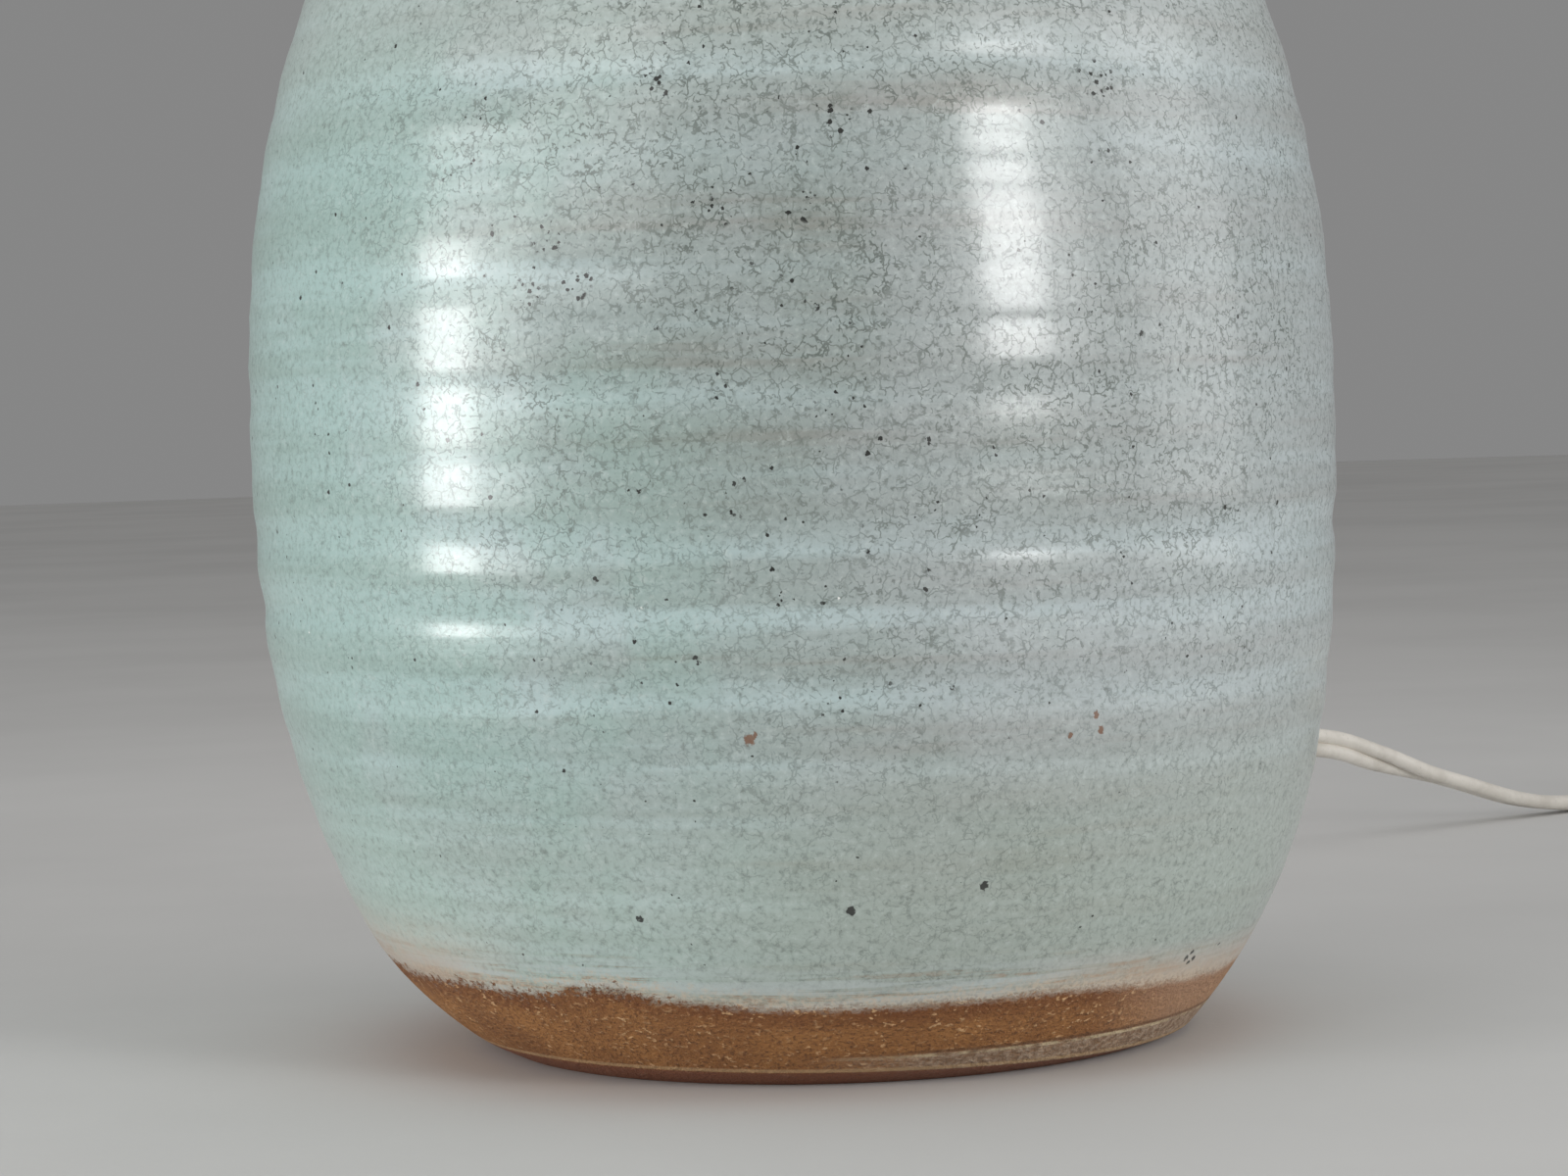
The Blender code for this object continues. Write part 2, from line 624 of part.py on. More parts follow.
def make_neck_fittings():
    hole = NIPPLE_RADIUS + GAP
    gasket_inner = NECK_BORE + GAP
    turned(
        "neck_gasket",
        ring_outline(gasket_inner, gasket_inner + GASKET_WIDTH, 0, GASKET_THICKNESS),
        RUBBER,
        location=(0, 0, GASKET_BOTTOM),
    )
    skirt_inner = VASE_CAP_RADIUS - VASE_CAP_SHEET
    vase_cap = [
        (hole, VASE_CAP_RISE + VASE_CAP_SHEET),
        (VASE_CAP_CROWN, VASE_CAP_RISE + VASE_CAP_SHEET),
        ((VASE_CAP_CROWN + NECK_BORE) / 2, VASE_CAP_RISE),
        (NECK_BORE + VASE_CAP_SHEET, VASE_CAP_SHEET * 2),
        (skirt_inner - VASE_CAP_SHEET, VASE_CAP_SHEET),
        (VASE_CAP_RADIUS - VASE_CAP_SHEET / 3, VASE_CAP_SHEET / 3),
        (VASE_CAP_RADIUS, -VASE_CAP_SHEET),
        (VASE_CAP_RADIUS, -VASE_CAP_SKIRT),
        (skirt_inner, -VASE_CAP_SKIRT),
        (skirt_inner, 0),
        (NECK_BORE + VASE_CAP_SHEET, 0),
        (VASE_CAP_CROWN, VASE_CAP_RISE),
        (hole, VASE_CAP_RISE),
    ]
    turned("vase_cap", vase_cap, BRASS, location=(0, 0, CAP_SEAT))
    turned(
        "threaded_nipple",
        ring_outline(NIPPLE_BORE, NIPPLE_RADIUS, NIPPLE_BOTTOM, NIPPLE_TOP),
        BRASS,
        SMALL_SIDES,
    )
    bar_corners = rounded_corners(BAR_LENGTH, BAR_WIDTH, BAR_END_RADIUS, 3)
    bar_mesh = prism_mesh("toggle_bar", bar_corners, -BAR_THICKNESS, 0)
    bar = finish(placed("toggle_bar", bar_mesh, location=(0, 0, BAR_TOP)), STEEL)
    drill(bar, "bar_hole", hole, BAR_TOP - BAR_THICKNESS - OVERRUN, BAR_TOP + OVERRUN)
    turned(
        "lock_washer",
        ring_outline(hole, WASHER_RADIUS, -WASHER_THICKNESS, 0),
        STEEL,
        SMALL_SIDES,
        location=(0, 0, WASHER_TOP),
    )
    nut_corners = []
    for side in range(6):
        angle = math.pi / 3 * side
        nut_corners.append((NUT_RADIUS * math.cos(angle), NUT_RADIUS * math.sin(angle)))
    nut_mesh = prism_mesh("bar_nut", nut_corners, -NUT_HEIGHT, 0)
    nut = finish(placed("bar_nut", nut_mesh, location=(0, 0, NUT_TOP)), STEEL)
    drill(nut, "nut_hole", hole, NUT_TOP - NUT_HEIGHT - OVERRUN, NUT_TOP + OVERRUN)
    spool = [
        (hole, SPOOL_HEIGHT),
        (SPOOL_RADIUS - SPOOL_BEAD / 4, SPOOL_HEIGHT),
        (SPOOL_RADIUS, SPOOL_HEIGHT - SPOOL_BEAD / 2),
        (SPOOL_RADIUS - SPOOL_BEAD / 4, SPOOL_HEIGHT - SPOOL_BEAD),
        (SPOOL_WAIST, SPOOL_HEIGHT - SPOOL_BEAD - SPOOL_BEAD / 2),
        (SPOOL_WAIST, SPOOL_BEAD + SPOOL_BEAD / 2),
        (SPOOL_RADIUS - SPOOL_BEAD / 4, SPOOL_BEAD),
        (SPOOL_RADIUS, SPOOL_BEAD / 2),
        (SPOOL_RADIUS - SPOOL_BEAD / 4, 0),
        (hole, 0),
    ]
    turned("neck_spool", spool, BRASS, location=(0, 0, SPOOL_BOTTOM))


def make_lampholder_case():
    """The brass cup on the nipple, its set screw, and the shell with its insulating sleeve."""
    hole = NIPPLE_RADIUS + GAP
    cup_inner = CUP_RADIUS - CUP_SHEET
    floor = CUP_FLOOR - HUB_BOTTOM
    wall_bottom = CUP_WALL_BOTTOM - HUB_BOTTOM
    top = CUP_TOP - HUB_BOTTOM
    cup = [
        (cup_inner, top),
        (CUP_RADIUS, top),
        (CUP_RADIUS, wall_bottom),
        (CUP_RADIUS - CUP_SHEET / 2, wall_bottom - CUP_EDGE / 2),
        (SWITCH_BODY_RADIUS, floor),
        (HUB_RADIUS, floor - CUP_EDGE),
        (HUB_RADIUS, CUP_EDGE / 4),
        (HUB_RADIUS - CUP_EDGE / 4, 0),
        (hole, 0),
        (hole, floor),
        (SWITCH_RECESS_RADIUS, floor + CUP_SHEET / 2),
        (SWITCH_BODY_RADIUS, floor + CUP_EDGE),
        (cup_inner, wall_bottom + CUP_SHEET),
    ]
    holder_cap = turned("lampholder_cap", cup, BRASS, location=(0, 0, HUB_BOTTOM))
    screw_height = (CUP_FLOOR - CUP_EDGE - HUB_BOTTOM) / 2
    front = {"location": (0, 0, HUB_BOTTOM + screw_height), "rotation": (math.pi / 2, 0, 0)}
    drill(
        holder_cap,
        "set_screw_hole",
        SET_SCREW_RADIUS + GAP,
        NIPPLE_RADIUS,
        HUB_RADIUS + OVERRUN,
        PIN_SIDES,
        **front,
    )
    turned(
        "holder_set_screw",
        drum(SET_SCREW_RADIUS, NIPPLE_RADIUS + GAP, HUB_RADIUS + SET_SCREW_HEAD),
        STEEL,
        PIN_SIDES,
        **front,
    )
    make_shell()
    sleeve = turned(
        "insulating_sleeve",
        ring_outline(
            SLEEVE_RADIUS - SLEEVE_WALL,
            SLEEVE_RADIUS,
            SHELL_BOTTOM + SLEEVE_SHORTER,
            SHELL_TOP - SLEEVE_SHORTER,
        ),
        FIBRE,
    )
    open_for_spindle(sleeve, "sleeve_spindle_hole")


def make_shell():
    """The outer shell: a plain lower part, a ledge for a shade, and a threaded upper part."""
    inner = SHELL_RADIUS - SHELL_SHEET
    thread_bottom = SHELL_LOWER + LEDGE_THICKNESS / 2
    thread_pitch = (SHELL_UPPER - LEDGE_THICKNESS) / SHELL_THREAD_COUNT
    outline = [(inner, SHELL_LOWER + SHELL_UPPER), (SHELL_RADIUS, SHELL_LOWER + SHELL_UPPER)]
    for turn in reversed(range(SHELL_THREAD_COUNT)):
        bottom = thread_bottom + turn * thread_pitch
        outline.append((SHELL_THREAD_RADIUS, bottom + thread_pitch / 2))
        outline.append((SHELL_THREAD_RADIUS - SHELL_THREAD_DEPTH, bottom))
    outline += [
        (SHELL_THREAD_RADIUS - SHELL_THREAD_DEPTH, SHELL_LOWER),
        (LEDGE_RADIUS, SHELL_LOWER),
        (LEDGE_RADIUS, SHELL_LOWER - LEDGE_THICKNESS),
        (SHELL_RADIUS, SHELL_LOWER - LEDGE_THICKNESS),
        (SHELL_RADIUS, 0),
        (inner, 0),
    ]
    shell = turned("lampholder_shell", outline, BRASS, location=(0, 0, SHELL_BOTTOM))
    open_for_spindle(shell, "shell_spindle_hole")


def open_for_spindle(piece, name):
    drill(
        piece,
        name,
        SPINDLE_RADIUS + SPINDLE_HOLE_CLEARANCE,
        SWITCH_BODY_RADIUS,
        CUP_RADIUS + OVERRUN,
        PIN_SIDES,
        location=(0, 0, SWITCH_HEIGHT),
        rotation=(0, math.pi / 2, 0),
    )


def make_switch():
    """The moulded switch body with its spindle and knob on the switch's own axis."""
    outline = [
        (0, SWITCH_BODY_HEIGHT),
        (SWITCH_BODY_RADIUS, SWITCH_BODY_HEIGHT),
        (SWITCH_BODY_RADIUS, 0),
        (SWITCH_RECESS_RADIUS, 0),
        (SWITCH_RECESS_RADIUS, SWITCH_RECESS_DEPTH),
        (0, SWITCH_RECESS_DEPTH),
    ]
    body = turned("switch_body", outline, PORCELAIN, location=(0, 0, SWITCH_BODY_BOTTOM))
    spare = SWITCH_BODY_RADIUS
    reach = SWITCH_BODY_HEIGHT + OVERRUN
    for name, side in (("live_flat", -1), ("neutral_flat", 1)):
        flat_mesh = prism_mesh(name, block_corners(4 * spare, 2 * spare), -OVERRUN, reach)
        flat_place = (0, side * (SWITCH_BODY_FLAT + spare), SWITCH_BODY_BOTTOM)
        cut(body, helper(name, flat_mesh, location=flat_place))
    notch_mesh = prism_mesh(
        "lead_notch", block_corners(LEAD_NOTCH_WIDTH, 4 * spare), -OVERRUN, SWITCH_RECESS_DEPTH - GAP
    )
    cut(body, helper("lead_notch", notch_mesh, location=(0, 0, SWITCH_BODY_BOTTOM)))
    across = {"rotation": (math.pi / 2, 0, 0), "location": (0, 0, TERMINAL_HEIGHT)}
    shank_hole = TERMINAL_SHANK_RADIUS + GAP
    shank_start = SWITCH_BODY_FLAT - TERMINAL_SHANK_LENGTH - GAP
    for name, start, end in (
        ("live_hole", shank_start, spare),
        ("neutral_hole", -spare, -shank_start),
    ):
        drill(body, name, shank_hole, start, end, PIN_SIDES, **across)
    drill(
        body,
        "spindle_bore",
        SPINDLE_RADIUS + GAP,
        SPINDLE_START - GAP,
        spare + OVERRUN,
        PIN_SIDES,
        location=(0, 0, SWITCH_HEIGHT),
        rotation=(0, math.pi / 2, 0),
    )
    axis = placed("switch_axis", None, location=(0, 0, SWITCH_HEIGHT), rotation=(0, math.pi / 2, 0))
    knob_start = SHELL_RADIUS + KNOB_STANDOFF
    knob_bore_end = knob_start + KNOB_LENGTH - KNOB_WALL
    turned(
        "switch_spindle",
        drum(SPINDLE_RADIUS, SPINDLE_START, knob_bore_end - GAP),
        STEEL,
        PIN_SIDES,
        parent=axis,
    )
    knob = finish(placed("switch_knob", knob_mesh(knob_start), parent=axis), PHENOLIC)
    bore = SPINDLE_RADIUS + GAP
    drill(knob, "knob_bore", bore, knob_start - OVERRUN, knob_bore_end, PIN_SIDES, parent=axis)


def knob_mesh(start):
    """A fluted knob, its sections listed along its axis."""
    sections = (
        (0, 0),
        (0, KNOB_RADIUS - KNOB_EDGE),
        (KNOB_EDGE, KNOB_RADIUS),
        (KNOB_LENGTH - KNOB_EDGE, KNOB_TIP_RADIUS),
        (KNOB_LENGTH, KNOB_TIP_RADIUS - KNOB_EDGE),
        (KNOB_LENGTH, 0),
    )
    bm = bmesh.new()
    points = KNOB_FLUTES * 4
    rings = []
    for along, radius in sections:
        if radius == 0:
            rings.append([bm.verts.new((0, 0, start + along))])
            continue
        ring = []
        for i in range(points):
            angle = 2 * math.pi * i / points
            flute = KNOB_FLUTE_DEPTH * (1 - math.cos(KNOB_FLUTES * angle)) / 2
            across = (radius - flute) * math.cos(angle)
            up = (radius - flute) * math.sin(angle)
            ring.append(bm.verts.new((across, up, start + along)))
        rings.append(ring)
    for lower, upper in zip(rings, rings[1:]):
        for i in range(points):
            after = i + 1
            corners = (
                lower[i % len(lower)],
                lower[after % len(lower)],
                upper[after % len(upper)],
                upper[i % len(upper)],
            )
            bm.faces.new(list(dict.fromkeys(corners)))
    return mesh_of("switch_knob", bm)


def make_terminals():
    """A terminal screw on each flat of the switch body, and the lead that comes up to it."""
    head_start = SWITCH_BODY_FLAT + GAP
    for name, side in (("terminal_screw_live", -1), ("terminal_screw_neutral", 1)):
        outline = [
            (0, head_start + TERMINAL_HEAD_THICKNESS),
            (TERMINAL_HEAD_RADIUS, head_start + TERMINAL_HEAD_THICKNESS),
            (TERMINAL_HEAD_RADIUS, head_start),
            (TERMINAL_SHANK_RADIUS, head_start),
            (TERMINAL_SHANK_RADIUS, SWITCH_BODY_FLAT - TERMINAL_SHANK_LENGTH),
            (0, SWITCH_BODY_FLAT - TERMINAL_SHANK_LENGTH),
        ]
        turned(
            name,
            outline,
            BRASS,
            PIN_SIDES,
            location=(0, 0, TERMINAL_HEIGHT),
            rotation=(-side * math.pi / 2, 0, 0),
        )
    bottom = NIPPLE_TOP + GAP
    turn_height = SWITCH_BODY_BOTTOM + LEAD_RISE
    outer = SWITCH_BODY_FLAT + GAP + LEAD_RADIUS
    lead_top = TERMINAL_HEIGHT - TERMINAL_HEAD_RADIUS - GAP
    for name, side, look in (("lead_live", -1, LIVE_SLEEVE), ("lead_neutral", 1, NEUTRAL_SLEEVE)):
        route = [
            (0, side * LEAD_SPACING, bottom),
            (0, side * LEAD_SPACING, bottom + LEAD_RADIUS),
            (0, side * (LEAD_SPACING + LEAD_RADIUS), turn_height - LEAD_RADIUS / 2),
            (0, side * (outer + LEAD_SPACING) / 2, turn_height),
            (0, side * (outer - LEAD_RADIUS / 2), turn_height + LEAD_RADIUS / 2),
            (0, side * outer, turn_height + LEAD_RADIUS * 2),
            (0, side * outer, lead_top),
        ]
        tube(name, route, LEAD_RADIUS, look)


def thread_outline(root, crest, bottom, count):
    """The wavy side of a rolled thread, from its bottom to its top, as radius and height."""
    points = []
    for turn in range(count):
        start = bottom + turn * THREAD_PITCH
        points.append((root, start))
        points.append((crest, start + THREAD_PITCH / 2))
    points.append((root, bottom + count * THREAD_PITCH))
    return points


def make_screw_shell():
    """The thin screw shell on the switch body, and the sprung tongue that meets the bulb's contact."""
    thread_bottom = BULB_CAP_BOTTOM
    root = THREAD_ROOT_RADIUS + GAP
    crest = THREAD_CREST_RADIUS + GAP
    inner = thread_outline(root, crest, thread_bottom, THREAD_COUNT)
    outer = thread_outline(root + SCREW_SHELL_SHEET, crest + SCREW_SHELL_SHEET, thread_bottom, THREAD_COUNT)
    lip = SCREW_SHELL_BOTTOM + SCREW_SHELL_SHEET
    outline = (
        [(SCREW_SHELL_HOLE, SCREW_SHELL_BOTTOM), (SCREW_SHELL_HOLE, lip), (root, lip)]
        + inner
        + outer[::-1]
        + [(root + SCREW_SHELL_SHEET, SCREW_SHELL_BOTTOM)]
    )
    turned("screw_shell", outline, BRASS, SMALL_SIDES)
    bm = bmesh.new()
    corners = (
        (-TONGUE_LENGTH / 2, 0),
        (TONGUE_LENGTH / 2, 0),
        (TONGUE_LENGTH / 2, TONGUE_THICKNESS),
        (TONGUE_LENGTH / 3, TONGUE_THICKNESS + TONGUE_RISE / 3),
        (0, TONGUE_RISE + TONGUE_THICKNESS),
        (-TONGUE_LENGTH / 3, TONGUE_RISE + TONGUE_THICKNESS),
        (-TONGUE_LENGTH / 3, TONGUE_RISE),
        (0, TONGUE_RISE),
        (TONGUE_LENGTH / 3 - TONGUE_THICKNESS, TONGUE_THICKNESS),
        (-TONGUE_LENGTH / 2, TONGUE_THICKNESS),
    )
    near = [bm.verts.new((x, -TONGUE_WIDTH / 2, z)) for x, z in corners]
    far = [bm.verts.new((x, TONGUE_WIDTH / 2, z)) for x, z in corners]
    bm.faces.new(near)
    bm.faces.new(far)
    for i in range(len(corners)):
        after = (i + 1) % len(corners)
        bm.faces.new((near[i], near[after], far[after], far[i]))
    finish(
        placed("centre_contact", mesh_of("centre_contact", bm), location=(0, 0, SCREW_SHELL_BOTTOM)),
        BRASS,
    )


def make_bulb():
    """The lamp bulb: its screw cap with contact and insulator, and the glass with its stem and filament."""
    sheet = BULB_CAP_SHEET
    outer = thread_outline(THREAD_ROOT_RADIUS, THREAD_CREST_RADIUS, BULB_CAP_BOTTOM, THREAD_COUNT)
    inner = thread_outline(
        THREAD_ROOT_RADIUS - sheet, THREAD_CREST_RADIUS - sheet, BULB_CAP_BOTTOM + sheet, THREAD_COUNT
    )
    skirt_inner = BULB_NECK_RADIUS + GAP
    outline = (
        [(CONTACT_RADIUS, BULB_CAP_BOTTOM)]
        + outer
        + [(THREAD_ROOT_RADIUS, BULB_CAP_TOP), (skirt_inner, BULB_CAP_TOP)]
        + [(skirt_inner, BULB_THREAD_TOP + sheet)]
        + inner[::-1][1:]
        + [(CONTACT_RADIUS, BULB_CAP_BOTTOM + sheet)]
    )
    turned("bulb_cap", outline, ALUMINIUM, SMALL_SIDES)
    turned(
        "bulb_contact",
        [
            (0, CONTACT_HEIGHT),
            (CONTACT_RADIUS, CONTACT_HEIGHT),
            (CONTACT_RADIUS, CONTACT_HEIGHT / 2),
            (CONTACT_RADIUS / 2, 0),
            (0, 0),
        ],
        STEEL,
        SMALL_SIDES,
        location=(0, 0, BULB_BOTTOM),
    )
    turned(
        "bulb_insulator",
        [
            (0, INSULATOR_HEIGHT),
            (THREAD_ROOT_RADIUS - sheet, INSULATOR_HEIGHT),
            (CONTACT_RADIUS + sheet, 0),
            (0, 0),
        ],
        VITRITE,
        SMALL_SIDES,
        location=(0, 0, INSULATOR_BOTTOM),
    )
    turned("bulb_glass", glass_outline(), OPAL_GLASS)
    make_bulb_inside()


def glass_outline():
    """The glass from its neck inside the cap to its round end, and back down the inside."""
    centre = BULB_TOP - BULB_RADIUS
    neck_bottom = BULB_CAP_TOP - BULB_NECK_DEPTH
    throat = BULB_CAP_TOP + BULB_THROAT_RISE

    def side(inset):
        neck = BULB_NECK_RADIUS - inset
        points = [(neck, neck_bottom), (neck, BULB_CAP_TOP + BULB_GLASS)]
        points.append(((BULB_NECK_RADIUS + BULB_THROAT_RADIUS) / 2 - inset, (BULB_CAP_TOP + throat) / 2))
        points.append((BULB_THROAT_RADIUS - inset, throat))
        span = centre - throat
        for step in range(1, THROAT_STEPS):
            share = step / THROAT_STEPS
            radius = BULB_THROAT_RADIUS + (BULB_RADIUS - BULB_THROAT_RADIUS) * math.sin(math.pi / 2 * share)
            points.append((radius - inset, throat + span * share))
        globe = BULB_RADIUS - inset
        for step in range(GLASS_STEPS):
            angle = math.pi / 2 * step / GLASS_STEPS
            points.append((globe * math.cos(angle), centre + globe * math.sin(angle)))
        points.append((0, centre + globe))
        return points

    return side(0) + side(BULB_GLASS)[::-1]


def make_bulb_inside():
    bottom = BULB_CAP_TOP - BULB_NECK_DEPTH + BULB_GLASS
    flare = BULB_NECK_RADIUS - BULB_GLASS - GAP
    stem = [
        (0, STEM_HEIGHT),
        (STEM_RADIUS, STEM_HEIGHT),
        (STEM_RADIUS, STEM_FLARE_HEIGHT),
        (flare, BULB_GLASS),
        (flare, 0),
        (0, 0),
    ]
    turned("bulb_stem", stem, CLEAR_GLASS, SMALL_SIDES, location=(0, 0, bottom))
    stem_top = bottom + STEM_HEIGHT + FILAMENT_WIRE + GAP
    half = FILAMENT_SPAN / 2
    route = [
        (-STEM_RADIUS / 2, 0, stem_top),
        (-half, 0, stem_top + FILAMENT_RISE),
        (-half / 2, 0, stem_top + FILAMENT_RISE * 3 / 4),
        (0, 0, stem_top + FILAMENT_RISE),
        (half / 2, 0, stem_top + FILAMENT_RISE * 3 / 4),
        (half, 0, stem_top + FILAMENT_RISE),
        (STEM_RADIUS / 2, 0, stem_top),
    ]
    tube("bulb_filament", route, FILAMENT_WIRE, TUNGSTEN)


def make_shade_ring():
    """The threaded ring that holds a shade on the shell's ledge."""
    bore = SHELL_THREAD_RADIUS + GAP
    outline = [
        (bore, RING_HEIGHT),
        (RING_COLLAR_RADIUS - RING_EDGE, RING_HEIGHT),
        (RING_COLLAR_RADIUS, RING_HEIGHT - RING_EDGE),
        (RING_COLLAR_RADIUS, RING_FLANGE),
        (RING_RADIUS - RING_EDGE, RING_FLANGE),
        (RING_RADIUS, RING_FLANGE - RING_EDGE),
        (RING_RADIUS, 0),
        (bore, 0),
    ]
    turned("shade_ring", outline, PHENOLIC, location=(0, 0, RING_BOTTOM))


def coil_points():
    """The coil's centreline about its own centre: in along the lower layer, climbing as the spiral
    reverses, and out again along the upper layer."""
    half = COIL_TURNS_SHARE * math.pi
    count = round(COIL_TURNS_SHARE * LOOP_POINTS)
    points = []
    for i in range(count + 1):
        wound = 2 * half * i / count
        past = abs(wound - half)
        if past < COIL_REVERSAL_ANGLE:
            past = past**2 / (2 * COIL_REVERSAL_ANGLE) + COIL_REVERSAL_ANGLE / 2
        radius = COIL_RADIUS - COIL_PITCH * (half - past) / (2 * math.pi)
        layer = smooth_step((wound - half) / math.pi + 1 / 2)
        angle = COIL_START_ANGLE - wound
        points.append((radius * math.cos(angle), radius * math.sin(angle), COIL_FLOOR + COIL_PITCH * layer))
    return points


def heading(start, end):
    return Vector((end[0] - start[0], end[1] - start[1], 0)).normalized()


def least_gap(points):
    """The least distance between surfaces of turns that aren't next to each other along the cord."""
    turns = np.array(points)
    apart = []
    for i in range(len(turns) - LOOP_POINTS // 3):
        others = turns[i + LOOP_POINTS // 3 :]
        apart.append(np.linalg.norm(others - turns[i], axis=1).min())
    return min(apart) - CORD_WIDTH


def make_cord():
    """The free stretch, the coil with its tie, and the plug at the end of the coil's tail."""
    centre = Vector((COIL_CENTRE_X, COIL_CENTRE_Y, 0))
    turns = coil_points()
    towards = heading(turns[0], turns[1])
    start = Vector(turns[0]) - towards * CORD_WIDTH
    away = heading(turns[-2], turns[-1])
    tail = coil_tail(Vector(turns[-1]), away)
    coil_route = [tuple(start)] + turns + tail
    tube("cord_coil", coil_route, CORD_RADIUS, IVORY, 1, location=centre)
    print(f"least gap of the coil to itself: {least_gap(turns):.4f} m")
    exit_point = Vector((0, FLANGE_FACE + GAP, EXIT_HEIGHT))
    leaving = Vector((0, RELIEF_TIP, EXIT_HEIGHT))
    meeting = centre + start - towards * GAP
    arriving = meeting - towards * CORD_WIDTH
    bends = smooth_route([leaving, *CORD_ROUTE, arriving], ROUTE_STEP_SHARE * CORD_WIDTH)
    route = [tuple(exit_point), *bends, tuple(meeting)]
    tube("supply_cord", route, CORD_RADIUS, IVORY)
    print(f"cord length outside the lamp: {length_of(route) + length_of(coil_route):.3f} m")
    make_tie(centre, turns)
    make_plug(centre + Vector(tail[-1]), away)


def make_inner_flex():
    """From the wall, up the back of the hollow body and through the threaded tube."""
    climb = NIPPLE_BOTTOM - CORD_WIDTH - EXIT_HEIGHT
    inside = [(0, WALL_INSIDE * out, EXIT_HEIGHT + climb * up) for out, up in INNER_ROUTE_SHARES]
    bends = smooth_route(inside, ROUTE_STEP_SHARE * CORD_WIDTH)
    tube("inner_flex", [(0, FLANGE_FACE, EXIT_HEIGHT), *bends, (0, 0, NIPPLE_TOP)], CORD_RADIUS, IVORY)


def coil_tail(end, away):
    """From the upper layer down to the height at which the cord enters the plug."""
    drop = end.z - PLUG_HALF_HEIGHT
    steps = 4
    points = []
    for step in range(1, steps + 1):
        share = step / steps
        point = end + away * (COIL_TAIL * share)
        point.z = end.z - drop * smooth_step(share)
        points.append(tuple(point))
    points.append(tuple(Vector(points[-1]) + away * CORD_WIDTH))
    return points


def make_tie(centre, turns):
    """A strap round all turns of the coil at one place."""
    outward = Vector((math.cos(TIE_ANGLE), math.sin(TIE_ANGLE), 0))
    near = [
        Vector(p).dot(outward)
        for p in turns
        if Vector(p).dot(outward) > 0 and abs(Vector(p).cross(outward).z) < CORD_WIDTH
    ]
    inner_low = min(near) - CORD_RADIUS - TIE_SLACK
    inner_high = max(near) + CORD_RADIUS + TIE_SLACK
    bottom = TIE_THICKNESS
    top = COIL_FLOOR + COIL_PITCH + CORD_RADIUS + GAP
    width = inner_high - inner_low
    height = top - bottom
    hole = rounded_corners(width, height, TIE_CORNER - TIE_THICKNESS, 3)
    band = rounded_corners(width + 2 * TIE_THICKNESS, height + 2 * TIE_THICKNESS, TIE_CORNER, 3)
    bm = bmesh.new()
    loops = []
    for corners, along in (
        (band, -TIE_WIDTH / 2),
        (band, TIE_WIDTH / 2),
        (hole, TIE_WIDTH / 2),
        (hole, -TIE_WIDTH / 2),
    ):
        loops.append([bm.verts.new((x, y, along)) for x, y in corners])
    for loop, after_loop in zip(loops, loops[1:] + loops[:1]):
        for i in range(len(loop)):
            after = (i + 1) % len(loop)
            bm.faces.new((loop[i], loop[after], after_loop[after], after_loop[i]))
    middle = centre + outward * ((inner_low + inner_high) / 2)
    middle.z = (bottom + top) / 2
    finish(
        placed(
            "cord_tie",
            mesh_of("cord_tie", bm),
            location=middle,
            rotation=(math.pi / 2, 0, TIE_ANGLE),
        ),
        TIE_BLACK,
    )


def make_plug(cord_end, away):
    """A flat two-blade plug lying on the floor, along the direction in which the cord enters it."""
    seat = placed(
        "plug_seat",
        None,
        location=cord_end + away * GAP,
        rotation=(0, 0, math.atan2(away.y, away.x)),
    )
    grip = PLUG_RELIEF_LENGTH + PLUG_BODY_LENGTH * 2 / 5
    length = PLUG_RELIEF_LENGTH + PLUG_BODY_LENGTH
    flat = PLUG_HALF_HEIGHT
    relief = PLUG_RELIEF_RADIUS
    sections = (
        (0, relief, relief),
        (PLUG_RELIEF_LENGTH * 3 / 4, relief + PLUG_FACE_EDGE / 2, relief + PLUG_FACE_EDGE / 4),
        (PLUG_RELIEF_LENGTH, PLUG_HALF_WIDTH * PLUG_GRIP_SHARE, flat * PLUG_GRIP_SHARE),
        (grip, PLUG_HALF_WIDTH * PLUG_GRIP_SHARE, flat * PLUG_GRIP_SHARE),
        (length - PLUG_BODY_LENGTH / 4, PLUG_HALF_WIDTH, flat),
        (length - PLUG_FACE_EDGE, PLUG_HALF_WIDTH, flat),
        (length, PLUG_HALF_WIDTH - PLUG_FACE_EDGE, flat - PLUG_FACE_EDGE),
    )
    body = finish(placed("plug_body", plug_mesh(sections), parent=seat), IVORY)
    for name, side in (("plug_blade_left", -1), ("plug_blade_right", 1)):
        slot_name = name + "_slot"
        slot = blade_mesh(slot_name, BLADE_ROOT + OVERRUN, GAP)
        slot_place = (length - BLADE_ROOT, side * BLADE_SPACING / 2, 0)
        cut(body, helper(slot_name, slot, location=slot_place, parent=seat))
        blade_data = blade_mesh(name, BLADE_ROOT + BLADE_LENGTH, 0)
        blade_place = (length - BLADE_ROOT + GAP, side * BLADE_SPACING / 2, 0)
        blade = finish(placed(name, blade_data, location=blade_place, parent=seat), BRASS)
        drill(
            blade,
            name + "_hole",
            BLADE_HOLE_RADIUS,
            -BLADE_WIDTH,
            BLADE_WIDTH,
            PIN_SIDES,
            location=(length + BLADE_LENGTH - BLADE_HOLE_FROM_TIP, side * BLADE_SPACING / 2, 0),
            rotation=(math.pi / 2, 0, 0),
            parent=seat,
        )


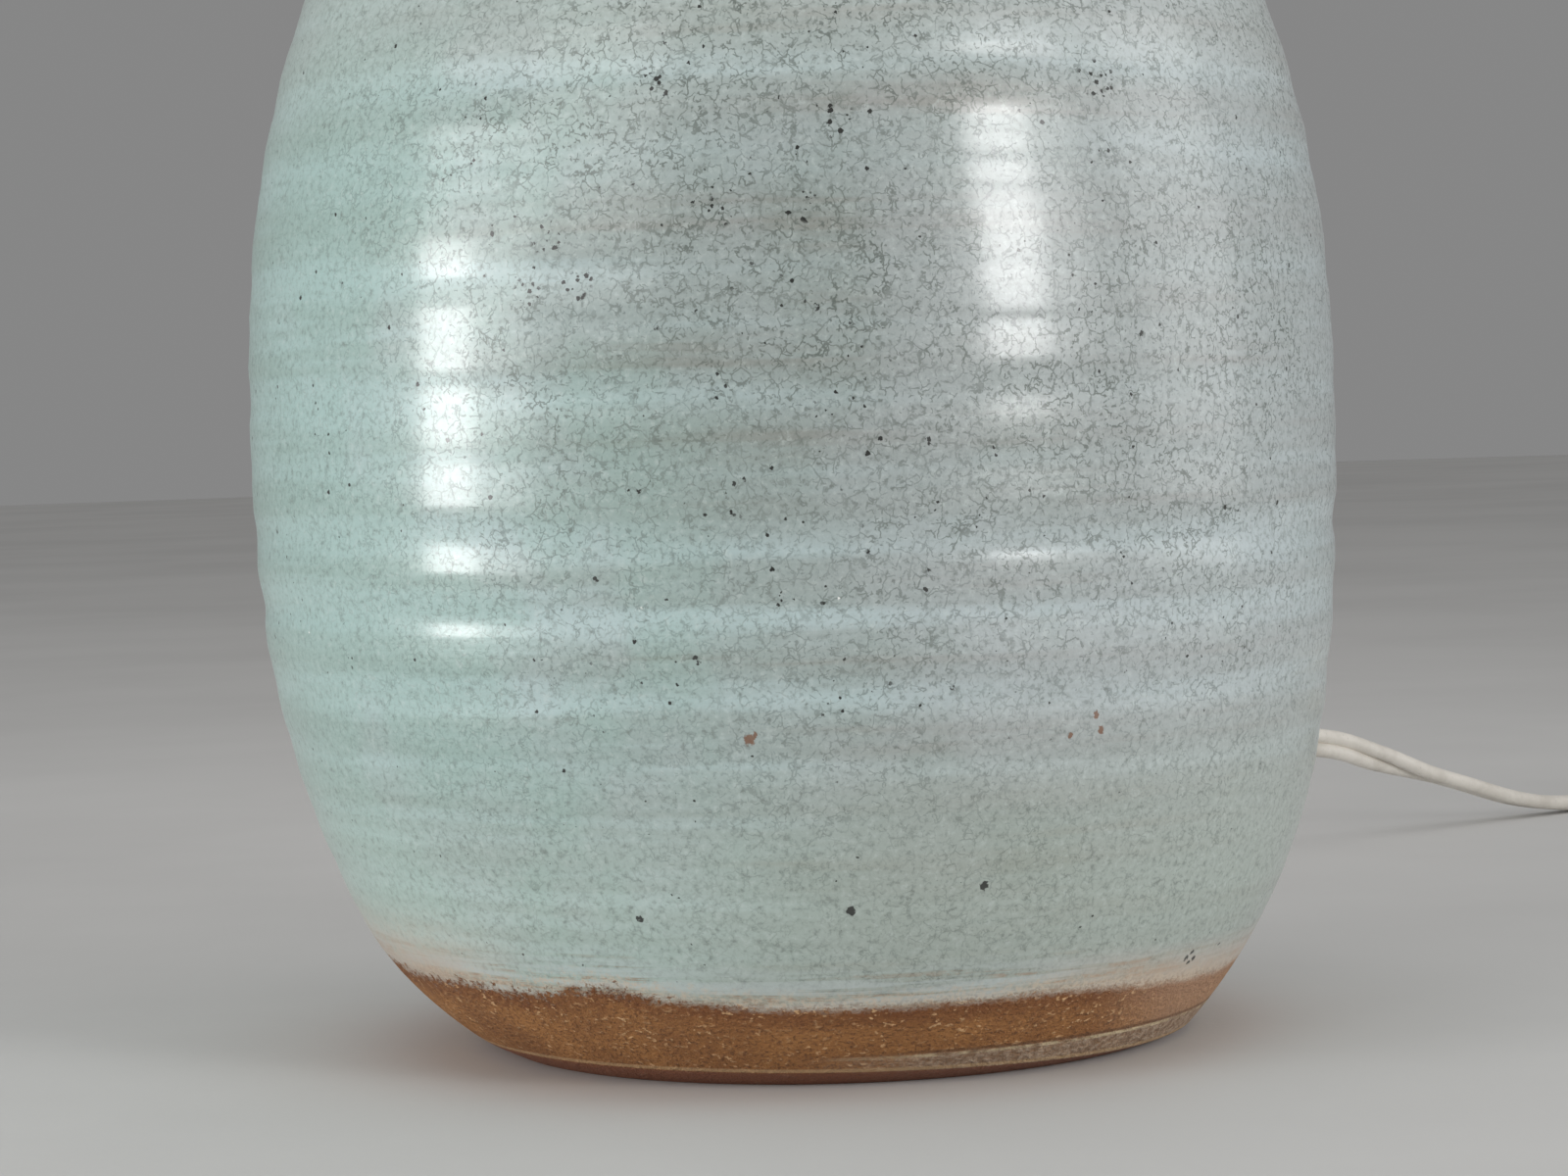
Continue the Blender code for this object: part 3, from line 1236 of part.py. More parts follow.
def plug_mesh(sections):
    """Rings of flattened round sections along X, closed at both ends."""
    bm = bmesh.new()
    rings = []
    for along, half_width, half_height in sections:
        ring = []
        for side in range(SMALL_SIDES):
            angle = 2 * math.pi * side / SMALL_SIDES
            across = math.copysign(math.sqrt(abs(math.cos(angle))), math.cos(angle))
            up = math.copysign(math.sqrt(abs(math.sin(angle))), math.sin(angle))
            if half_width == half_height:
                across, up = math.cos(angle), math.sin(angle)
            ring.append(bm.verts.new((along, half_width * across, half_height * up)))
        rings.append(ring)
    bm.faces.new(rings[0])
    bm.faces.new(rings[-1])
    for lower, upper in zip(rings, rings[1:]):
        for side in range(SMALL_SIDES):
            after = (side + 1) % SMALL_SIDES
            bm.faces.new((lower[side], lower[after], upper[after], upper[side]))
    return mesh_of("plug_body", bm)


def blade_mesh(name, length, extra):
    """A flat blade along X with a narrowed tip, or the slot that fits it."""
    half = BLADE_WIDTH / 2 + extra
    tip = half - (0 if extra else BLADE_TIP)
    shoulder = length - (0 if extra else BLADE_TIP)
    corners = [(0, -half), (shoulder, -half), (length, -tip), (length, tip), (shoulder, half), (0, half)]
    if extra:
        corners = [(0, -half), (length, -half), (length, half), (0, half)]
    thick = BLADE_THICKNESS / 2 + extra
    bm = bmesh.new()
    near = [bm.verts.new((x, -thick, z)) for x, z in corners]
    far = [bm.verts.new((x, thick, z)) for x, z in corners]
    bm.faces.new(near)
    bm.faces.new(far)
    for i in range(len(corners)):
        after = (i + 1) % len(corners)
        bm.faces.new((near[i], near[after], far[after], far[i]))
    return mesh_of(name, bm)


def main():
    clear_scene()
    make_body()
    make_strain_relief()
    make_neck_fittings()
    make_lampholder_case()
    make_switch()
    make_terminals()
    make_screw_shell()
    make_bulb()
    make_shade_ring()
    make_inner_flex()
    make_cord()


main()
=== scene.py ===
"""The looks of a ceramic table lamp: crackle-glazed stoneware, brass fittings and ivory flex.

Metres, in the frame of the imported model: +Z up, the front towards -Y, the flex at the back.
"""

import json
import math

import bmesh
import bpy
import numpy as np
from mathutils import Matrix, Vector


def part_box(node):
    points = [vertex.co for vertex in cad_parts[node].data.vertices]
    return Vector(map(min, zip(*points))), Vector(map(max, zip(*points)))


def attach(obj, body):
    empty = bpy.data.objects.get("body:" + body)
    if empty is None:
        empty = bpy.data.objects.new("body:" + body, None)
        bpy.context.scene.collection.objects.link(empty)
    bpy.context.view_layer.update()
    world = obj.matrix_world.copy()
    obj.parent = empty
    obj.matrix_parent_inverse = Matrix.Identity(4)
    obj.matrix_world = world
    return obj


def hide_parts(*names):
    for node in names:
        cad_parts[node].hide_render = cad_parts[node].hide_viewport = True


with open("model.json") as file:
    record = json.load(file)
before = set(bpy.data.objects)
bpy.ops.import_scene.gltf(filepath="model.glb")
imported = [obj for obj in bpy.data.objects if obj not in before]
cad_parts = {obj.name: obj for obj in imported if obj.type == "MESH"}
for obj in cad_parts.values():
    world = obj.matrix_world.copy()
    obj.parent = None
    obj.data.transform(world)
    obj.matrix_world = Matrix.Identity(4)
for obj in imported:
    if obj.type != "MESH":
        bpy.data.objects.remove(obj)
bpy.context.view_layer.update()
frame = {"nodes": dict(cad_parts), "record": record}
scene = bpy.context.scene
MM = 0.001
GAP = 0.3 * MM
TURN = 2 * math.pi
UP = Vector((0, 0, 1))
RECORD = frame["record"]
SLOTS = {part["node"]: part["material_slot"] for part in RECORD["subparts"]}
BODIES = {node: body for body, nodes in RECORD["behaviour"]["bodies"].items() for node in nodes}
# The look of each material slot
LOOKS = {}


def new_object(name, data):
    thing = bpy.data.objects.new(name, data)
    scene.collection.objects.link(thing)
    return thing


# The photograph's camera, from the body's outline
PICTURE_WIDTH = 1600
FOCAL_PIXELS = 3949
SENSOR_WIDTH = 36
CLIP_START = 0.01
CAMERA_PLACE = Vector((-0.0025, -0.697, 0.1095))
CAMERA_PITCH = math.radians(2.428)
CAMERA_ROLL = math.radians(1.868)


def make_camera():
    data = bpy.data.cameras.new("camera")
    data.lens = FOCAL_PIXELS / PICTURE_WIDTH * SENSOR_WIDTH
    data.sensor_width = SENSOR_WIDTH
    data.clip_start = CLIP_START
    camera = new_object("camera", data)
    look = Matrix.Rotation(math.pi / 2 - CAMERA_PITCH, 4, "X") @ Matrix.Rotation(-CAMERA_ROLL, 4, "Z")
    camera.matrix_world = Matrix.Translation(CAMERA_PLACE) @ look
    scene.camera = camera


make_camera()


# Materials and the world are written as node trees with these small helpers
class Nodes:
    """Adds nodes to a tree. A tuple among joined values stands for a ramp."""

    def __init__(self, tree):
        self.tree = tree

    def add(self, kind, inputs=(), **settings):
        node = self.tree.nodes.new("ShaderNode" + kind)
        for key, value in settings.items():
            setattr(node, key, value)
        for key, value in dict(inputs).items():
            if isinstance(value, bpy.types.NodeSocket):
                self.tree.links.new(value, node.inputs[key])
            else:
                node.inputs[key].default_value = value
        return node

    def ramp(self, value, low, high, to_low=0.0, to_high=1.0, kind="SMOOTHSTEP"):
        """From one result to another while a value goes from low to high."""
        inputs = {"Value": value, 1: low, 2: high, 3: to_low, 4: to_high}
        return self.add("MapRange", inputs, interpolation_type=kind).outputs[0]

    def line(self, *values):
        """A ramp that is straight."""
        return self.ramp(*values, kind="LINEAR")

    def join(self, operation, *values):
        result, *rest = (self.ramp(*value) if isinstance(value, tuple) else value for value in values)
        for value in rest:
            result = self.add("Math", {0: result, 1: value}, operation=operation).outputs[0]
        return result

    def times(self, *values):
        return self.join("MULTIPLY", *values)

    def plus(self, *values):
        return self.join("ADD", *values)

    def less(self, *values):
        return self.join("SUBTRACT", *values)

    def most(self, *values):
        return self.join("MAXIMUM", *values)


class Look(Nodes):
    """A material under construction."""

    def __init__(self, name, roughness, **sockets):
        self.material = bpy.data.materials.new(name)
        self.material.use_nodes = True
        super().__init__(self.material.node_tree)
        self.shader = self.tree.nodes["Principled BSDF"]
        for socket, value in {"Roughness": roughness, **sockets}.items():
            self.shader.inputs[socket.replace("_", " ")].default_value = value
        self.place = self.add("TexCoord").outputs["Object"]

    def limited(self, value):
        """A value kept between 0 and 1."""
        return self.add("Clamp", {0: value}).outputs[0]

    def vector(self, operation, a, b):
        return self.add("VectorMath", {0: a, 1: b}, operation=operation).outputs[0]

    def axes(self):
        return self.add("SeparateXYZ", {0: self.place}).outputs

    def noise(self, scale, detail=2.0, rough=0.5):
        """A noise of one scale, or of one along each axis."""
        place = self.place
        if isinstance(scale, tuple):
            place = self.vector("MULTIPLY", place, scale)
            scale = 1.0
        inputs = {"Vector": place, "Scale": scale, "Detail": detail, "Roughness": rough}
        return self.add("TexNoise", inputs).outputs["Fac"]

    def jitter(self, scale, amount):
        """Coordinates shaken by a noise of a given scale."""
        noise = self.add("TexNoise", {"Vector": self.place, "Scale": scale, "Detail": 2.0})
        centred = self.vector("SUBTRACT", noise.outputs["Color"], (0.5,) * 3)
        return self.vector("ADD", self.place, self.vector("MULTIPLY", centred, (amount,) * 3))

    def cells(self, place, scale, feature="F1"):
        return self.add("TexVoronoi", {"Vector": place, "Scale": scale}, feature=feature).outputs

    def attribute(self, name):
        return self.add("Attribute", attribute_name=name).outputs["Fac"]

    def layers(self, base, *layers):
        """A colour with others over it in turn. Each is a colour and the shares that it is laid on by."""
        for colour, *shares in layers:
            a, b = (c if isinstance(c, bpy.types.NodeSocket) else tint(c) for c in (base, colour))
            base = self.add("Mix", {0: self.times(*shares), 6: a, 7: b}, data_type="RGBA").outputs[2]
        return base

    def finish(self, height, depth, **sockets):
        """Link the named sockets, and a bump of a depth in metres, to the shader."""
        sockets["Normal"] = self.add("Bump", {"Height": height, "Distance": depth}).outputs[0]
        for socket, value in sockets.items():
            self.tree.links.new(value, self.shader.inputs[socket.replace("_", " ")])
        return self


def tint(rgb):
    """A colour written as it looks, from 0 to 255, as the renderer's linear values."""
    shares = [value / 255 for value in rgb]
    return (*(s / 12.92 if s <= 0.04045 else ((s + 0.055) / 1.055) ** 2.4 for s in shares), 1.0)


# Meshes
def to_mesh(name, bm):
    mesh = bpy.data.meshes.new(name)
    bm.to_mesh(mesh)
    bm.free()
    return mesh


def smooth(mesh, sharp=40):
    """Shade a mesh smooth, apart from edges of more than the sharp angle."""
    mesh.shade_smooth()
    mesh.set_sharp_from_angle(angle=math.radians(sharp))


def new_piece(name, bm, *nodes, sharp=40):
    """A piece that stands for nodes of the frame, with their body, slot and look."""
    slot = SLOTS[nodes[0]]
    bmesh.ops.recalc_face_normals(bm, faces=bm.faces)
    mesh = to_mesh(name, bm)
    smooth(mesh, sharp)
    mesh.materials.append(LOOKS[slot].material)
    piece = new_object(name, mesh)
    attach(piece, BODIES[nodes[0]])
    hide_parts(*nodes)
    return piece


def bridge(bm, rings, closed=True):
    """Faces between each ring of vertices and the next one. A ring may be a single vertex."""
    for lower, upper in zip(rings, rings[1:] + rings[:1] if closed else rings[1:]):
        sides = max(len(lower), len(upper))
        for side in range(sides if sides > 1 else 0):
            corners = [ring[side % len(ring)] for ring in (lower, upper)]
            ahead = [ring[(side + 1) % len(ring)] for ring in (lower, upper)]
            bm.faces.new(list(dict.fromkeys((corners[0], ahead[0], ahead[1], corners[1]))))


def around(sides):
    """The angles of a ring's vertices."""
    return [TURN * side / sides for side in range(sides)]


def wave(turns):
    """1 at each whole turn and 0 between two of them."""
    return 0.5 + 0.5 * math.cos(TURN * turns)


def eased(value, start, end):
    """From 0 at the start to 1 at the end, smoothly."""
    share = np.clip((value - start) / (end - start), 0.0, 1.0)
    return share * share * (3 - 2 * share)


def outline(*runs):
    """Points of radius and height. A run gives its radius and height, then millimetres out and up of them."""
    return [(radius + out * MM, height + up * MM) for radius, height, *points in runs for out, up in points]


def arc(radius, height, size, start, end, count):
    """Points of an outline along an arc, from one angle in degrees to another."""
    angles = np.radians(np.linspace(start, end, count))
    return [(radius + size * math.cos(angle), height + size * math.sin(angle)) for angle in angles]


def softened(points, radius, steps=3):
    """A closed outline with its corners rounded."""
    soft = []
    for i, corner in enumerate(points):
        here = Vector(corner)
        back = Vector(points[i - 1]) - here
        ahead = Vector(points[(i + 1) % len(points)]) - here
        if here.x == 0 or min(back.length, ahead.length) < radius / 8:
            soft.append(tuple(here))
            continue
        start, end = (here + way.normalized() * min(radius, way.length * 0.4) for way in (back, ahead))
        for share in np.linspace(0, 1, steps + 1):
            soft.append(tuple(start * (1 - share) ** 2 + here * (2 * share * (1 - share)) + end * share**2))
    return soft


def lathe(points, sides=96, shape=None, place=None):
    """A solid of revolution from an outline of radius and height. shape may change a radius by angle."""
    bm = bmesh.new()
    rings = []
    for radius, height in points:
        if radius < 1e-7:
            rings.append([bm.verts.new((0, 0, height))])
            continue
        ring = []
        for angle in around(sides):
            r = shape(radius, height, angle) if shape else radius
            ring.append(bm.verts.new((r * math.cos(angle), r * math.sin(angle), height)))
        rings.append(ring)
    bridge(bm, rings)
    if place:
        bmesh.ops.transform(bm, matrix=place, verts=bm.verts)
    return bm


def smooth_route(points, step):
    """Points at an even step along a smooth curve through the route's own points."""
    route = np.array(points, float)
    route = np.vstack([2 * route[0] - route[1], route, 2 * route[-1] - route[-2]])
    fine = []
    for i in range(1, len(route) - 2):
        before, start, end, after = route[i - 1 : i + 3]
        for share in np.linspace(0, 1, 20, endpoint=False):
            fine.append(
                start
                + (end - before) * share / 2
                + (before - 2.5 * start + 2 * end - after / 2) * share**2
                + (-before / 2 + 1.5 * start - 1.5 * end + after / 2) * share**3
            )
    fine = np.array(fine + [route[-2]])
    along = np.concatenate([[0], np.cumsum(np.linalg.norm(np.diff(fine, axis=0), axis=1))])
    stations = np.linspace(0, along[-1], max(2, round(along[-1] / step)) + 1)
    return np.column_stack([np.interp(stations, along, fine[:, axis]) for axis in range(3)])


def sweep(path, profile, turns=None):
    """A closed tube along a path. The profile's first axis is upright, turned by an angle at each point."""
    bm = bmesh.new()
    rings = []
    aside = Vector((1, 0, 0))
    for i, point in enumerate(path):
        ahead = (Vector(path[min(i + 1, len(path) - 1)]) - Vector(path[max(i - 1, 0)])).normalized()
        level = ahead.cross(UP)
        if level.length >= STEEP_LIMIT:
            aside = level.normalized()
        upright = aside.cross(ahead)
        angle = turns[i] if turns else 0
        first = upright * math.cos(angle) + aside * math.sin(angle)
        second = aside * math.cos(angle) - upright * math.sin(angle)
        rings.append([bm.verts.new(Vector(point) + first * a + second * b) for a, b in profile])
    bridge(bm, rings, closed=False)
    bm.faces.new(rings[0])
    bm.faces.new(rings[-1])
    return bm


# The flex: the same route and coil as the solids follow
CORD_WIDTH = 0.0072
CORD_RADIUS = CORD_WIDTH / 2
CORE_RADIUS = 0.00185
CORE_SPACING = CORD_RADIUS - CORE_RADIUS
CORE_STEPS = 12
FLOOR_CLEARANCE = 0.0001
CORD_ROUTE = (
    (0.0030, 0.1440, 0.0396), (0.0160, 0.1740, 0.0382), (0.0400, 0.2030, 0.0358), (0.0690, 0.2290, 0.0326),
    (0.1000, 0.2540, 0.0288), (0.1323, 0.2777, 0.0245), (0.1460, 0.2871, 0.0199), (0.1600, 0.2966, 0.0147),
    (0.1742, 0.3063, 0.0100), (0.1887, 0.3162, 0.0062), (0.2036, 0.3264, 0.0041), (0.2225, 0.3388, 0.0037),
    (0.2425, 0.3506, 0.0040),
)
COIL_CENTRE = Vector((0.283, 0.316, 0))
COIL_RADIUS = 0.0484
COIL_PITCH = 0.0078
COIL_TURNS = 6.32
COIL_START_ANGLE = math.radians(108)
COIL_REVERSAL_ANGLE = math.radians(50)
COIL_POINTS_A_TURN = 48
COIL_TAIL = 0.040
TAIL_STEPS = 10
TIE_THICKNESS = 0.0008
COIL_FLOOR = TIE_THICKNESS + 2 * GAP + CORD_RADIUS
PLUG_HALF_HEIGHT = 0.0068
EXIT_HEIGHT = 0.040
FLEX_STEP = 0.004
FLEX_SHARP = 50
# A stretch steeper than this keeps the direction before it: the sine of its angle to the vertical
STEEP_LIMIT = 0.3
# Where the flex turns from standing on edge to lying flat, along X, and back again before the coil
TURN_FLAT = (0.136, 0.166)
TURN_UPRIGHT = (0.214, 0.262)
# Between these heights the flat stretch settles on the floor
SETTLING = (0.012, 0.004)
RELIEF_INNER_END, RELIEF_TIP = (corner[1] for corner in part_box("cord_strain_relief"))
# The flex inside: shares of its reach outwards and of its climb, up to where it meets the lamp's axis
INNER_AXIS_HEIGHT = 0.230
INNER_SETBACK = 0.0108
INNER_CURVE = (
    (0.93, 0.0), (0.86, 0.005), (0.75, 0.024), (0.655, 0.07), (0.60, 0.139), (0.57, 0.241), (0.528, 0.375),
    (0.454, 0.525), (0.344, 0.675), (0.202, 0.80), (0.074, 0.89), (0.01, 0.96), (0.0, 1.0),
)


def coil_points():
    """Inwards on the floor, then outwards again on the layer above."""
    half = COIL_TURNS * math.pi
    points = []
    for wound in np.linspace(0, 2 * half, round(COIL_TURNS * COIL_POINTS_A_TURN) + 1):
        past = abs(wound - half)
        if past < COIL_REVERSAL_ANGLE:
            past = past**2 / (2 * COIL_REVERSAL_ANGLE) + COIL_REVERSAL_ANGLE / 2
        radius = COIL_RADIUS - COIL_PITCH * (half - past) / TURN
        height = COIL_FLOOR + COIL_PITCH * eased(wound, half - math.pi / 2, half + math.pi / 2)
        angle = COIL_START_ANGLE - wound
        points.append(COIL_CENTRE + Vector((radius * math.cos(angle), radius * math.sin(angle), height)))
    return points


def heading(start, end):
    return Vector((end.x - start.x, end.y - start.y, 0)).normalized()


def flex_profile():
    """Two round cores joined by a thin web, as distances along and across the flex's width."""
    corner = math.acos(-CORE_SPACING / CORE_RADIUS)
    points = []
    for side in (1, -1):
        for angle in np.linspace(-corner, corner, CORE_STEPS, endpoint=False):
            along = CORE_SPACING + CORE_RADIUS * math.cos(angle)
            points.append((side * along, side * CORE_RADIUS * math.sin(angle)))
    return points


FLEX_PROFILE = flex_profile()
coil = coil_points()
coil_direction = heading(*coil[:2])
tail_direction = heading(*coil[-2:])


def tail_points():
    """From the end of the coil down to the plug on the floor."""
    end = coil[-1]
    points = []
    for share in np.linspace(0, 1, TAIL_STEPS + 1)[1:]:
        point = end + tail_direction * (COIL_TAIL * share)
        point.z = end.z - (end.z - PLUG_HALF_HEIGHT) * eased(share, 0, 1)
        points.append(point)
    points.append(points[-1] + tail_direction * CORD_WIDTH)
    return points


def free_points():
    """From inside the strain relief to the start of the coil."""
    leaving = (0, RELIEF_TIP, EXIT_HEIGHT)
    before_coil = coil[0] - coil_direction * (2 * CORD_WIDTH + GAP)
    points = smooth_route([leaving, *CORD_ROUTE, tuple(before_coil)], FLEX_STEP)
    return [Vector(p) for p in points[:-1]]


def flex_turns(path, coil_start):
    """How far the flex is turned from standing on edge, at each point of its path."""
    tail_start = len(path) - len(plug_tail)
    shares = []
    for i, point in enumerate(path):
        if i < coil_start:
            shares.append(eased(point.x, *TURN_FLAT) - eased(point.x, *TURN_UPRIGHT))
        else:
            shares.append(eased(i, tail_start, len(path) - 3))
    return [share * math.pi / 2 for share in shares]


def settle(path, turns):
    """The stretch that lies flat comes down until its cores lie on the floor."""
    for point, turn in zip(path, turns):
        point.z -= CORE_SPACING * eased(point.z, *SETTLING) * math.sin(turn) ** 2
        lowest = CORE_RADIUS + CORE_SPACING * abs(math.cos(turn)) + FLOOR_CLEARANCE
        point.z = max(point.z, lowest)


plug_tail = tail_points()


def flex_look():
    """Ivory vinyl, a little grimy."""
    look = Look("flex_ivory", 0.42)
    grime = look.noise(90, 4, 0.65)
    fine = look.noise(1400)
    shade = look.layers(
        (226, 221, 212),
        ((202, 196, 186), (grime, 0.35, 0.75)),
        ((166, 159, 148), (fine, 0.62, 0.8, 0, 0.35)),
    )
    return look.finish(fine, 0.00006, Base_Color=shade, Roughness=look.ramp(grime, 0.2, 0.8, 0.36, 0.55))


def make_flex():
    """The cord from the strain relief to the plug, and the flex inside the body."""
    free = free_points()
    path = free + coil + plug_tail
    turns = flex_turns(path, len(free))
    settle(free, turns)
    tube = sweep(path, FLEX_PROFILE, turns)
    cord = new_piece("flex", tube, "supply_cord", "cord_coil", sharp=FLEX_SHARP)
    _, wall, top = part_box("inner_flex")[1]
    reach = wall - INNER_SETBACK
    climb = INNER_AXIS_HEIGHT - EXIT_HEIGHT
    inside = [(0, reach * out, EXIT_HEIGHT + climb * up) for out, up in INNER_CURVE]
    tube = sweep(smooth_route([(0, wall, EXIT_HEIGHT), *inside, (0, 0, top)], FLEX_STEP), FLEX_PROFILE)
    new_piece("flex_inside", tube, "inner_flex", sharp=FLEX_SHARP)
    return cord, path


LOOKS["flex_sheath"] = flex_look()
flex, flex_path = make_flex()
flex_length = sum((b - a).length for a, b in zip(flex_path, flex_path[1:]))


# The stoneware body: the same wall as the solid, with the marks of throwing in its surface
BELLY_RADIUS = 0.097
BELLY_HEIGHT = 0.110
DOME_HEIGHT = 0.1424
BOWL_DEPTH = 0.140
DOME_FULLNESS = 2.30
BOWL_FULLNESS = 2.58
NECK_RADIUS = 0.0215
NECK_FILLET = 0.004
NECK_COLLAR = 0.0065
NECK_BORE = 0.015
TRIM_HEIGHT = 0.028
TRIM_DEPTH = 0.0041
TRIM_CURVE = 2.4
TRIM_SHIFT = 0.0036
BODY_DRIFT = 0.0018
DRIFT_TOP = 0.085
DRIFT_SPAN = 0.060
CHAMFER_HEIGHT = 0.0022
CHAMFER_WIDTH = 0.0048
CHAMFER_SHARES = (0.12, 0.35, 0.62, 0.9)
CHAMFER_CURVE = 1.15
FOOT_RING_WIDTH = 0.012
FOOT_RECESS = 0.004
WALL = 0.0065
FLOOR_THICKNESS = 0.009
RIM_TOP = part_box("ceramic_body")[1][2]
NECK_ROOT = RIM_TOP - NECK_COLLAR - NECK_FILLET
COLUMNS = 320
DOME_ROWS = 150
BOWL_ROWS = 120
BODY_SHARP = 35

# Furrows left by the potter's fingers: height in millimetres and depth in tenths of a millimetre
FURROWS = (
    (232, 2.0), (219, 2.5), (206, 2.2), (193, 3.0), (180, 2.4), (166, 3.0), (153.5, 3.0), (148, 1.2),
    (134.2, 3.4), (125.2, 2.4), (114.6, 3.6), (103, 1.9), (91, 6.0), (79, 4.8), (66, 3.2), (55, 3.0),
    (44, 1.6), (34, 1.8), (25, 1.2),
)
FURROW_WIDTH = 0.0036
FURROW_TILT = 0.016
FURROW_FADE = 0.02
FURROW_FOOT = 0.006
FULL_FURROW = 0.5 * MM
FINE_FURROW = 0.03 * MM
FINE_PITCH = 0.0046
WANDER = 0.06 * MM
WANDER_FADE = 0.01
# How far the edge above the chamfer stands over its mean height in millimetres, by the angle to the right
LIP_RISE = (
    (-180, 0.4), (-90, 1.1), (-20, 1.0), (20, 0.3), (35, -0.4), (50, -0.9), (80, -0.8), (120, 0), (180, 0.4),
)
LIP_BLUR = range(-16, 17, 4)
LIP_FADE_HEIGHT = 0.016
# Height of the glaze's edge in millimetres, by the angle in degrees to the right of the front
GLAZE_EDGE = (
    (-180, 18), (-130, 18.5), (-95, 18.6), (-74, 17.8), (-63, 16.9), (-50, 17.2), (-41, 16.5), (-37, 16.6),
    (-32, 18.2), (-26, 18.2), (-19, 16.5), (-11, 15.4), (-3.6, 14.9), (11, 14.7), (28, 15.1), (37, 14.4),
    (45, 13.6), (56, 13.0), (64, 12.6), (75, 13.2), (95, 15.2), (130, 17), (180, 18),
)
# What the marks say where no glaze or lip is near
BELOW_EDGE = -0.02
BELOW_LIP = -0.002


def wall_radius(height):
    if height >= BELLY_HEIGHT:
        share = ((height - BELLY_HEIGHT) / DOME_HEIGHT) ** DOME_FULLNESS
    else:
        share = ((BELLY_HEIGHT - height) / BOWL_DEPTH) ** BOWL_FULLNESS
    return BELLY_RADIUS * math.sqrt(max(0.0, 1 - share))


def trimmed(radius, height):
    """Radius, height and shift along X of a place on the wall, with the foot's trim and the body's drift."""
    share = max(0.0, 1 - height / TRIM_HEIGHT) ** TRIM_CURVE
    drift = BODY_DRIFT * eased(height, DRIFT_TOP, DRIFT_TOP - DRIFT_SPAN)
    return radius - TRIM_DEPTH * share, height, drift + TRIM_SHIFT * share


def outer_rows():
    """Radius, height and shift of the outer wall, from the root of the neck to the edge above the foot."""
    rows = []
    top_angle = math.acos((NECK_RADIUS + NECK_FILLET) / BELLY_RADIUS)
    for angle in np.linspace(top_angle, 0, DOME_ROWS, endpoint=False):
        rise = DOME_HEIGHT * math.sin(angle) ** (2 / DOME_FULLNESS)
        rows.append((BELLY_RADIUS * math.cos(angle), BELLY_HEIGHT + rise, 0.0))
    foot_angle = math.asin(((BELLY_HEIGHT - CHAMFER_HEIGHT) / BOWL_DEPTH) ** (BOWL_FULLNESS / 2))
    for angle in np.linspace(0, foot_angle, BOWL_ROWS + 1):
        height = BELLY_HEIGHT - BOWL_DEPTH * math.sin(angle) ** (2 / BOWL_FULLNESS)
        rows.append(trimmed(BELLY_RADIUS * math.cos(angle), height))
    return rows


def furrow_depth(height, x, angle):
    """How deep the throwing marks are, in metres, at points of the wall."""
    level = height + FURROW_TILT * x
    level += 0.0006 * np.sin(angle * 2 + height * 40) + 0.0003 * np.sin(angle * 5 - height * 90)
    depth = FINE_FURROW * (1 + np.sin(level * TURN / FINE_PITCH + 2 * np.sin(angle + height * 60)))
    for place, tenths in FURROWS:
        strength = 1 + 0.35 * np.sin(angle + place * 0.7) + 0.15 * np.sin(angle * 3 + place)
        depth += tenths * 0.1 * MM * strength * np.exp(-(((level - place * MM) / FURROW_WIDTH) ** 2))
    return depth


def fine_wander(angle, height):
    """A slight unevenness of the thrown wall, in metres, inwards only."""
    wander = np.sin(2 * angle + 0.6) + 0.6 * np.sin(3 * angle + height * 25)
    return WANDER * (2 + wander + 0.4 * np.sin(5 * angle - height * 40))


def wall_places(height, rise):
    """Radius, height and shift of one row of the wall, which follows the tilted edge above the chamfer."""
    near_foot = np.clip((LIP_FADE_HEIGHT - height) / (LIP_FADE_HEIGHT - CHAMFER_HEIGHT), 0, 1)
    return np.array([trimmed(wall_radius(height + up), height + up) for up in rise * near_foot]).T


def neck_outline():
    """From the bore's edge over the rim and down the collar to the root of the neck."""
    rim = outline(
        (NECK_BORE, RIM_TOP, (0, -1.2), (0.4, -0.35), (1.2, 0)),
        (NECK_RADIUS, RIM_TOP, (-1.2, 0), (-0.35, -0.35), (0, -1.2)),
    )
    root = arc(NECK_RADIUS + NECK_FILLET, NECK_ROOT + NECK_FILLET, -NECK_FILLET, 0, 75, 6)
    return [*rim, (NECK_RADIUS, RIM_TOP - NECK_COLLAR / 2), *root]


def foot_outline(radius):
    """From the foot's outer edge over its ring and into the recess."""
    inner = radius - FOOT_RING_WIDTH
    return [
        (radius, 0.0),
        (radius - FOOT_RING_WIDTH / 2, 0.0),
        *outline((inner, 0, (0, 0), (-0.6, 0.5)), (inner, FOOT_RECESS, (-2, -0.6), (-3.2, 0))),
        (inner * 0.6, FOOT_RECESS - 0.1 * MM),
        (inner * 0.25, FOOT_RECESS),
    ]


def inside_outline():
    """From the middle of the inside floor up the inner wall to the bore."""
    floor = FOOT_RECESS + FLOOR_THICKNESS
    radius = BELLY_RADIUS - WALL
    rows = [(0.02, floor), (0.05, floor)]
    for height in np.linspace(floor + 0.008, BELLY_HEIGHT, 10, endpoint=False):
        share = ((BELLY_HEIGHT - height) / (BOWL_DEPTH - WALL)) ** BOWL_FULLNESS
        rows.append((radius * math.sqrt(1 - share), height))
    for angle in np.linspace(0, math.acos(NECK_BORE / radius), 13):
        rise = (DOME_HEIGHT - WALL) * math.sin(angle) ** (2 / DOME_FULLNESS)
        rows.append((radius * math.cos(angle), BELLY_HEIGHT + rise))
    return rows


def wrapped(degrees):
    return (degrees + 180) % 360 - 180


